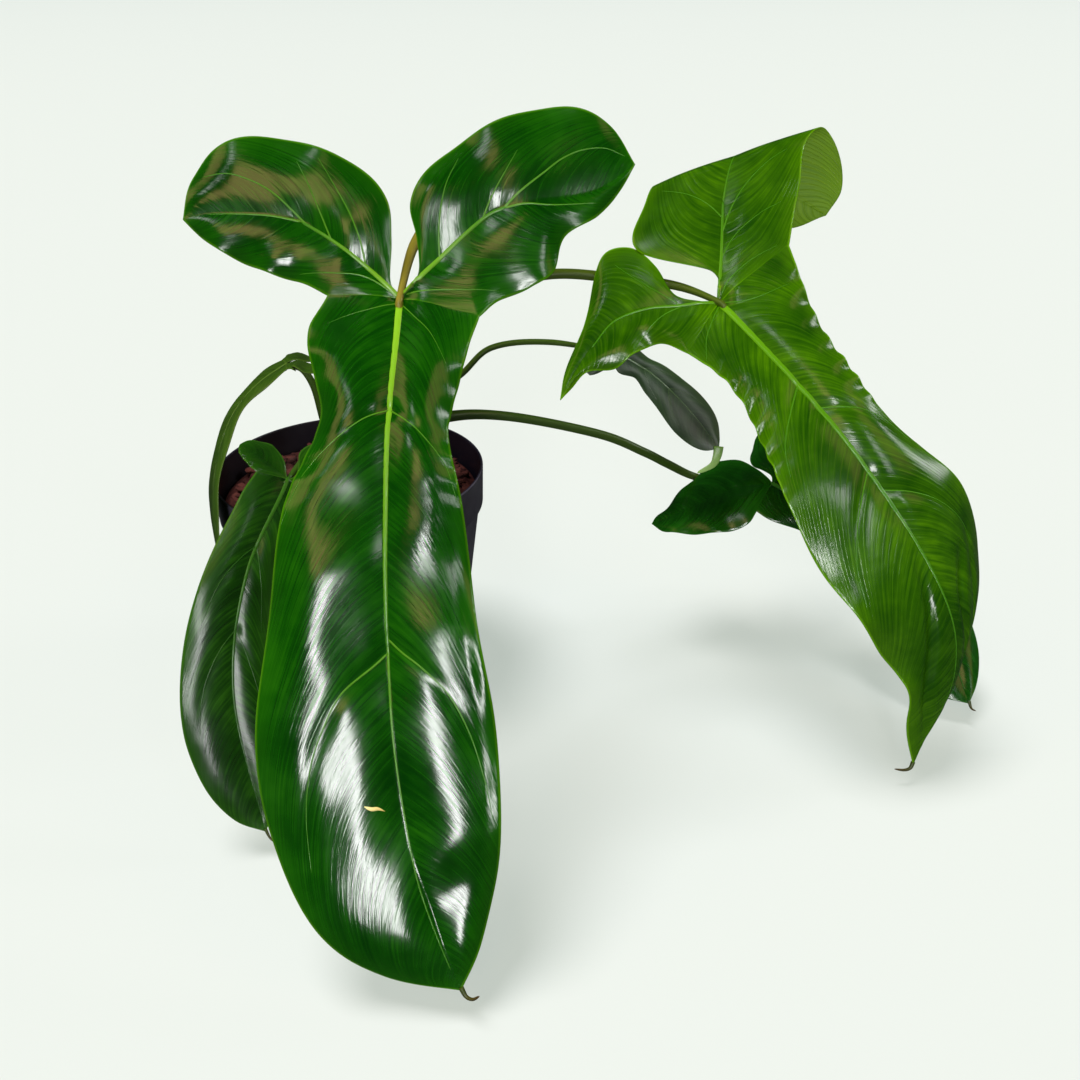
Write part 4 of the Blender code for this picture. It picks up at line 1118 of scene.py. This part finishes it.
def build_stem():
    """Radius: taper from 8 to 4.5 mm, less a sharp-edged furrow under each scar."""
    path = even_path(np.array(STEM_PATH) * MM, STEM_ROWS)
    distance = arc_lengths(path) / MM
    share = distance / distance[-1]
    radius = STEM_RADIUS + (STEM_TIP_RADIUS - STEM_RADIUS) * share**2
    above_mix = np.clip((path[:, 2] / MM - MIX_LEVEL) / SCAR_SPACING, 0, 1)
    ring = (1 + np.cos(2 * math.pi * distance / SCAR_SPACING)) / 2
    radius -= SCAR_DEPTH * above_mix * (1 - ring)
    radius += SCAR_RIDGE * above_mix * ring**24
    radius *= np.sqrt(1 - np.clip((share - (1 - STEM_ROUND)) / STEM_ROUND, 0, 1) ** 2 * 0.999)
    shape = Shape()
    shape.add_tube(path, radius * MM, radius * MM, np.array([0.0, 1.0, 0.0]), 0, share, 48)
    shape.build("living_stem", [bark("green stem bark", "#2E2A10", "#5A6A26", 0.5)], "stem", "stem")


build_stem()

# %% [markdown]
# ## The growing mix
# Orchid-style bark keeps the roots of a climber airy. The mass is one lumpy body, and the bark on top is
# loose chips: a rounded block, cut by a seeded choice of size and bend. Particles would look much the
# same, but they would not be solid pieces that leave with the model.

# %% Pot sizes that the mix fits in
POT_HEIGHT = 135
RIM_RADIUS = 75
RIM_BAND_HEIGHT = 23
RIM_STEP = 2.6
RIM_DRAFT = 0.6
BASE_RADIUS = 58
POT_WALL = 1.6
WALL_FIT = 0.65
BAND_FOOT = POT_HEIGHT - RIM_BAND_HEIGHT


def wall_radius(height):
    """Outer radius of the pot's tapered wall."""
    return BASE_RADIUS + (RIM_RADIUS - RIM_STEP - BASE_RADIUS) * height / BAND_FOOT


# %% Mix and chips
MIX_RINGS = 90
MIX_SIDES = 256
MIX_SIDE_RINGS = 12
MIX_GAP = 0.3
MIX_TONE = 0.2
RIPPLE_HEIGHT = 1.5
RIPPLE_SINK = 1.5
LUMP_HEIGHT = 0.5
LUMP_LENGTH = 6.0
LUMP_SEED = 11
STEM_HOLE = 8.8
SOCKET_DEPTH = 34.0
CHIP_COUNT = 620
CHIP_SIDES = 10
CHIP_LEVELS = 5
CHIP_SEED = 29
CHIP_SIZES = ((2.2, 6.5), (1.4, 3.4), (0.7, 1.7))
CHIP_BEND = 0.05
CHIP_TIP = 0.38
CHIP_CLEARANCE = 1.5


def mix_relief(x, y):
    """Height of the bark over the level of the mix: two crossed ripples, each bent by a slower one."""
    turn = 2 * math.pi
    long_way = np.sin(turn * x / 27 + 1.7 * np.sin(turn * y / 50))
    short_way = np.sin(turn * y / 32 + 1.9 * np.sin(turn * x / 50 + 1.0))
    return RIPPLE_HEIGHT * long_way * short_way


def mix_height(x, y):
    """The ripples, sinking by 1.5 mm at the wall and at the stem, with small lumps on them."""
    radius = np.hypot(x, y)
    outer = wall_radius(MIX_LEVEL - RIM_STEP) - POT_WALL - WALL_FIT
    share = (radius - STEM_HOLE) / (outer - STEM_HOLE)
    fade = smooth_step(np.minimum((1 - share) * 13, share * 13 / 3))
    lumps = LUMP_HEIGHT * waves(np.stack([x, y], axis=-1), LUMP_LENGTH, LUMP_SEED)
    return MIX_LEVEL + fade * (mix_relief(x, y) + lumps) - (1 - fade) * RIPPLE_SINK


def mix_body(shape):
    """Rings from the bottom up the side, over the top and down to the bottom round the stem."""
    bottom = POT_WALL + MIX_GAP
    socket = MIX_LEVEL - SOCKET_DEPTH
    angle = np.linspace(0, 2 * math.pi, MIX_SIDES, endpoint=False)
    levels = np.linspace(bottom, BAND_FOOT - RIM_STEP - MIX_GAP, MIX_SIDE_RINGS)
    outer = wall_radius(MIX_LEVEL - RIM_STEP) - POT_WALL - WALL_FIT
    side = wall_radius(levels) - POT_WALL - WALL_FIT
    radii = np.concatenate([side, np.linspace(outer, STEM_HOLE, MIX_RINGS), [STEM_HOLE]])
    x, y = radii[:, None] * np.cos(angle), radii[:, None] * np.sin(angle)
    top = slice(MIX_SIDE_RINGS, -1)
    z = np.concatenate([np.tile(levels[:, None], (1, MIX_SIDES)), mix_height(x[top], y[top]),
                        np.full((1, MIX_SIDES), socket)])
    grid = np.stack([x, y, z], axis=-1).reshape(-1, 3) * MM
    ends = np.array([[0, 0, bottom], [0, 0, socket]]) * MM
    first = shape.add_points(np.vstack([grid, ends]), np.full(len(grid) + 2, MIX_TONE))
    fans = end_fans(len(radii), MIX_SIDES, len(grid), len(grid) + 1)
    for faces in (grid_quads(len(radii), MIX_SIDES, closed=True), *fans):
        shape.add_faces(faces + first, 0)


def bark_chips(shape):
    """A chip is a squared-off ball, |x|^n-shaped, that a seeded draw stretches, bends, turns and tips."""
    draw = np.random.default_rng(CHIP_SEED)
    level = np.linspace(-1, 1, CHIP_LEVELS + 2)[1:-1] * math.pi / 2 * 0.96
    angle = np.linspace(0, 2 * math.pi, CHIP_SIDES, endpoint=False)

    def squared(value, power):
        return np.sign(value) * np.abs(value) ** power

    ring = np.stack([squared(np.cos(angle), 0.45), squared(np.sin(angle), 0.45)], axis=1)
    unit_chip = np.concatenate([ring[None] * squared(np.cos(level), 0.4)[:, None, None],
                                np.broadcast_to(squared(np.sin(level), 0.6)[:, None, None],
                                                (CHIP_LEVELS, CHIP_SIDES, 1))], axis=2).reshape(-1, 3)
    unit_chip = np.vstack([unit_chip, [0, 0, -1], [0, 0, 1]])
    count = len(unit_chip)
    size = np.stack([draw.uniform(*reach, CHIP_COUNT) for reach in CHIP_SIZES], axis=1)
    chips = unit_chip * size[:, None] * draw.uniform(0.8, 1.2, (CHIP_COUNT, count, 3))
    chips[..., 2] += draw.uniform(-CHIP_BEND, CHIP_BEND, (CHIP_COUNT, 1)) * chips[..., 0] ** 2
    turn, tip = draw.uniform(0, 2 * math.pi, CHIP_COUNT), draw.normal(0, CHIP_TIP, CHIP_COUNT)
    for angles, axis in ((tip, 2), (turn, 1)):
        run, rise = chips[..., 0].copy(), chips[..., axis].copy()
        chips[..., 0] = run * np.cos(angles)[:, None] - rise * np.sin(angles)[:, None]
        chips[..., axis] = run * np.sin(angles)[:, None] + rise * np.cos(angles)[:, None]
    farthest = wall_radius(MIX_LEVEL) - POT_WALL - CHIP_CLEARANCE - size[:, 0]
    nearest = STEM_HOLE + 0.2 + size[:, 0]
    away = np.sqrt(draw.uniform(nearest**2, farthest**2))
    where = draw.uniform(0, 2 * math.pi, CHIP_COUNT)
    place = np.stack([away * np.cos(where), away * np.sin(where)], axis=1)
    chips[..., :2] += place[:, None]
    chips[..., 2] += (mix_height(place[:, 0], place[:, 1]) + draw.uniform(-0.6, 1.2, CHIP_COUNT))[:, None]
    first = shape.add_points(chips.reshape(-1, 3) * MM, np.repeat(draw.uniform(0, 1, CHIP_COUNT), count))
    offset = (np.arange(CHIP_COUNT) * count + first)[:, None, None]
    caps = end_fans(CHIP_LEVELS, CHIP_SIDES, count - 2, count - 1)
    for faces in (grid_quads(CHIP_LEVELS, CHIP_SIDES, closed=True), *caps):
        shape.add_faces((faces[None] + offset).reshape(-1, faces.shape[1]), 0)


mix = Shape()
mix_body(mix)
bark_chips(mix)
damp_bark = bark("damp orchid bark", "#12080A", "#4C2924", 0.7)
mix.build("bark_growing_mix", [damp_bark], "growing_mix", "growing_mix")

# %% [markdown]
# ## The pot
# A nursery pot is blown or injection moulded from thin black polypropylene: a tapered wall, a rim band that
# stacks on the pot below, and drain holes. A turned profile gives all of it but the holes, and those are
# cut with cylinders. The profile's corners are rounded by cutting each one with a short arc.

# %% Pot
POT_SIDES = 192
CORNER_STEPS = 5
DRAIN_HOLES = 8
DRAIN_RADIUS = 5.0
DRAIN_CIRCLE = 42
LEATHER_SCALE = 1400.0  # real grit is finer than this 0.7 mm, but would not show
SCUFF_SCALE = 40.0  # scuffs of 25 mm
OUTSIDE, INSIDE = range(2)
POT_PROFILE = (
    (0, 0, 0), (BASE_RADIUS - 0.2, 0, 2.0), (RIM_RADIUS - RIM_STEP, BAND_FOOT, 0.4),
    (RIM_RADIUS - RIM_DRAFT, BAND_FOOT + 0.8, 0.5), (RIM_RADIUS, POT_HEIGHT, 0.7),
    (RIM_RADIUS - POT_WALL, POT_HEIGHT, 0.6), (RIM_RADIUS - POT_WALL - RIM_DRAFT, BAND_FOOT + RIM_STEP, 1.5),
    (wall_radius(BAND_FOOT) - POT_WALL, BAND_FOOT - RIM_STEP, 1.5),
    (wall_radius(POT_WALL) - POT_WALL, POT_WALL, 1.0), (0, POT_WALL, 0),
)


def rounded_profile(profile):
    """Each corner becomes a curve (1-t)^2 a + 2t(1-t) corner + t^2 b that starts and ends near it."""
    points = []
    for index, (radius, height, size) in enumerate(profile):
        corner = np.array([radius, height], float)
        if size == 0:
            points.append(corner)
            continue
        before, after = (np.array(profile[index + step][:2], float) - corner for step in (-1, 1))
        a, b = (corner + unit(way) * min(size, np.linalg.norm(way) * 0.45) for way in (before, after))
        t = np.linspace(0, 1, CORNER_STEPS)[:, None]
        points += list((1 - t) ** 2 * a + 2 * t * (1 - t) * corner + t**2 * b)
    return np.array(points)


def polypropylene(name, dark, dusty):
    """Black moulded plastic with a fine leathery texture, dulled a little by handling."""
    material, tree, output = new_material(name)
    place = add(tree, "TexCoord", out=3)
    texture = add(tree, "TexNoise", {"Vector": place, "Scale": LEATHER_SCALE, "Detail": 2.0})
    scuffs = add(tree, "TexNoise", {"Vector": place, "Scale": SCUFF_SCALE, "Detail": 4.0})
    gloss = add(tree, "MapRange", {"Value": scuffs, "From Min": 0.3, "From Max": 0.7, "To Min": 0.34,
                                   "To Max": 0.5})
    colour = add(tree, "ValToRGB", {"Fac": scuffs}, stops=((0.3, dark), (0.75, dusty)))
    bump = add(tree, "Bump", {"Height": texture, "Distance": 0.00006, "Strength": 1.0})
    shader = add(tree, "BsdfPrincipled", {"Base Color": colour, "Roughness": gloss, "Normal": bump,
                                          "IOR": 1.49})
    tree.links.new(shader, output.inputs["Surface"])
    return material


def build_pot():
    """The turned body, with a Boolean that cuts the drain holes out of its floor."""
    profile = rounded_profile(POT_PROFILE) * MM
    angle = np.linspace(0, 2 * math.pi, POT_SIDES, endpoint=False)
    body = profile[1:-1]
    grid = np.stack([body[:, :1] * np.cos(angle), body[:, :1] * np.sin(angle),
                     np.broadcast_to(body[:, 1:], (len(body), POT_SIDES))], axis=-1).reshape(-1, 3)
    shape = Shape()
    shape.add_points(np.vstack([grid, [[0, 0, profile[0, 1]], [0, 0, profile[-1, 1]]]]))
    quads = grid_quads(len(body), POT_SIDES, closed=True)
    lip = int(body[:, 1].argmax()) * POT_SIDES
    foot, floor = end_fans(len(body), POT_SIDES, len(grid), len(grid) + 1)
    for faces, plastic in ((quads[:lip], OUTSIDE), (quads[lip:], INSIDE), (foot, OUTSIDE), (floor, INSIDE)):
        shape.add_faces(faces, plastic)
    # The inside copy of the black plastic is darker only as painted shade in the pot's hollow.
    plastics = [polypropylene("black polypropylene", "#2A2832", "#403E48"),
                polypropylene("black polypropylene, painted shade inside", "#0E0C14", "#16141C")]
    pot = shape.build("moulded_pot", plastics, "pot_plastic", "pot")
    cutters = Shape()
    for hole in range(DRAIN_HOLES):
        turn = 2 * math.pi * (hole + 0.5) / DRAIN_HOLES
        centre = np.array([DRAIN_CIRCLE * math.cos(turn), DRAIN_CIRCLE * math.sin(turn), 0])
        path = (centre + np.linspace(-6, 8, 3)[:, None] * [0, 0, 1]) * MM
        radius = np.full(3, DRAIN_RADIUS * MM)
        points, quads, ends = tube(path, radius, radius, np.array([0.0, 1.0, 0.0]), 40)
        first = cutters.add_points(points)
        cutters.add_faces(quads + first, 0)
        cutters.add_faces(ends + first, 0)
    mesh = bpy.data.meshes.new("drain_holes")
    mesh.from_pydata(np.vstack(cutters.points).tolist(), [], cutters.faces)
    holes = bpy.data.objects.new("drain_holes", mesh)
    bpy.context.scene.collection.objects.link(holes)
    cut = pot.modifiers.new("drain holes", "BOOLEAN")
    cut.operation = "DIFFERENCE"
    cut.solver = "EXACT"
    cut.object = holes
    drilled = bpy.data.meshes.new_from_object(pot.evaluated_get(bpy.context.evaluated_depsgraph_get()))
    pot.modifiers.remove(cut)
    pot.data = drilled
    bpy.data.objects.remove(holes)
    pot.data.set_sharp_from_angle(angle=math.radians(35))


build_pot()

# %% [markdown]
# ## Floor, light and camera
# The plant stands on a pale floor that reaches past every edge of the view. A broad soft sun, leaning in
# from the left, leaves a soft shadow a little to the right of each leaf. What a waxed blade mirrors is
# placed apart from it: a tall window in front of the plant makes the white streaks, dim warm walls in front
# and at both sides make the tan patches, and three small windows make the lesser glints. One big softbox
# would be simpler, but it would turn every blade white.

# %% Floor
FLOOR_SIZE = 60.0
FLOOR_GLOW = (0.458, 0.514, 0.47, 1.0)
FLOOR_ALBEDO = (0.2, 0.2, 0.198, 1.0)


def make_floor():
    """A plain square, kept out of mirror reflections as black card round the lens would do.

    Part of its paleness is its own glow, so that shadows on it stay light.
    """
    mesh = bpy.data.meshes.new("floor")
    half = FLOOR_SIZE / 2
    corners = [(-half, -half, 0), (half, -half, 0), (half, half, 0), (-half, half, 0)]
    mesh.from_pydata(corners, [], [(0, 1, 2, 3)])
    material, tree, output = new_material("pale studio floor")
    shader = add(tree, "BsdfPrincipled", {"Base Color": FLOOR_ALBEDO, "Roughness": 0.9,
                                          "Specular IOR Level": 0.0, "Emission Color": FLOOR_GLOW,
                                          "Emission Strength": 1.0})
    tree.links.new(shader, output.inputs["Surface"])
    mesh.materials.append(material)
    floor = bpy.data.objects.new("floor", mesh)
    bpy.context.scene.collection.objects.link(floor)
    floor.visible_glossy = False


make_floor()

# %% Lights
WARM = (1.0, 0.66, 0.26)
PLANT_CENTRE = np.array([0.08, -0.17, 0.16])


def panel(name, azimuth, elevation, span, rise, radiance, colour=(1, 1, 1), distance=20.0):
    """A rectangle that faces the plant. Its power is radiance times pi times its area.

    Angles are in degrees: azimuth from -Y towards +X, elevation, and the span and rise that it fills.
    """
    data = bpy.data.lights.new(name, "AREA")
    data.shape = "RECTANGLE"
    data.size = 2 * distance * math.tan(math.radians(span / 2))
    data.size_y = 2 * distance * math.tan(math.radians(rise / 2))
    data.energy = radiance * math.pi * data.size * data.size_y
    data.color = colour
    light = bpy.data.objects.new(name, data)
    bpy.context.scene.collection.objects.link(light)
    turn, lift = math.radians(azimuth), math.radians(elevation)
    away = np.array([math.sin(turn) * math.cos(lift), -math.cos(turn) * math.cos(lift), math.sin(lift)])
    light.location = PLANT_CENTRE + away * distance
    light.rotation_euler = (math.pi / 2 - lift, 0, turn)


def overhead(strength, spread, lean):
    """A soft sun that leans in from the left by lean degrees and leaves no mirror image on a waxed blade."""
    data = bpy.data.lights.new("overhead softbox", "SUN")
    data.energy = strength
    data.angle = math.radians(spread)
    light = bpy.data.objects.new("overhead softbox", data)
    light.rotation_euler = (0, -math.radians(lean), 0)
    light.visible_glossy = False
    bpy.context.scene.collection.objects.link(light)


overhead(5.2, 25, 16)
panel("window", azimuth=-3, elevation=14.5, span=7, rise=31, radiance=34)
panel("warm wall", azimuth=-17, elevation=41, span=11, rise=18, radiance=4.0, colour=WARM)
panel("warm wall to the left", azimuth=-70, elevation=43, span=24, rise=18, radiance=2.4, colour=WARM)
panel("warm wall to the right", azimuth=66, elevation=44, span=24, rise=26, radiance=1.5, colour=WARM)
panel("left window", azimuth=-37, elevation=52, span=6, rise=9, radiance=7)
panel("right window", azimuth=36, elevation=36, span=8, rise=9, radiance=9)
panel("far right window", azimuth=100, elevation=26, span=14, rise=14, radiance=9)

# %% Dark room
ROOM_COLOUR = (0.9, 0.97, 1.0, 1)
ROOM_STRENGTH = 0.03
world = bpy.data.worlds.new("studio")
bpy.context.scene.world = world
world.use_nodes = True
room = world.node_tree.nodes["Background"].inputs
room["Color"].default_value = ROOM_COLOUR
room["Strength"].default_value = ROOM_STRENGTH

# %% Camera
SENSOR = 36
FOCAL_SHARE = 1060 / 1080
CAMERA_PLACE = (0.1073, -0.5452, 0.3866)
CAMERA_DIP = 28.76
camera_data = bpy.data.cameras.new("camera")
camera_data.lens = SENSOR * FOCAL_SHARE
camera_data.sensor_width = SENSOR
camera = bpy.data.objects.new("camera", camera_data)
camera.location = CAMERA_PLACE
camera.rotation_euler = (math.radians(90 - CAMERA_DIP), 0, 0)
bpy.context.scene.collection.objects.link(camera)
bpy.context.scene.camera = camera
bpy.context.scene.view_settings.view_transform = "Standard"
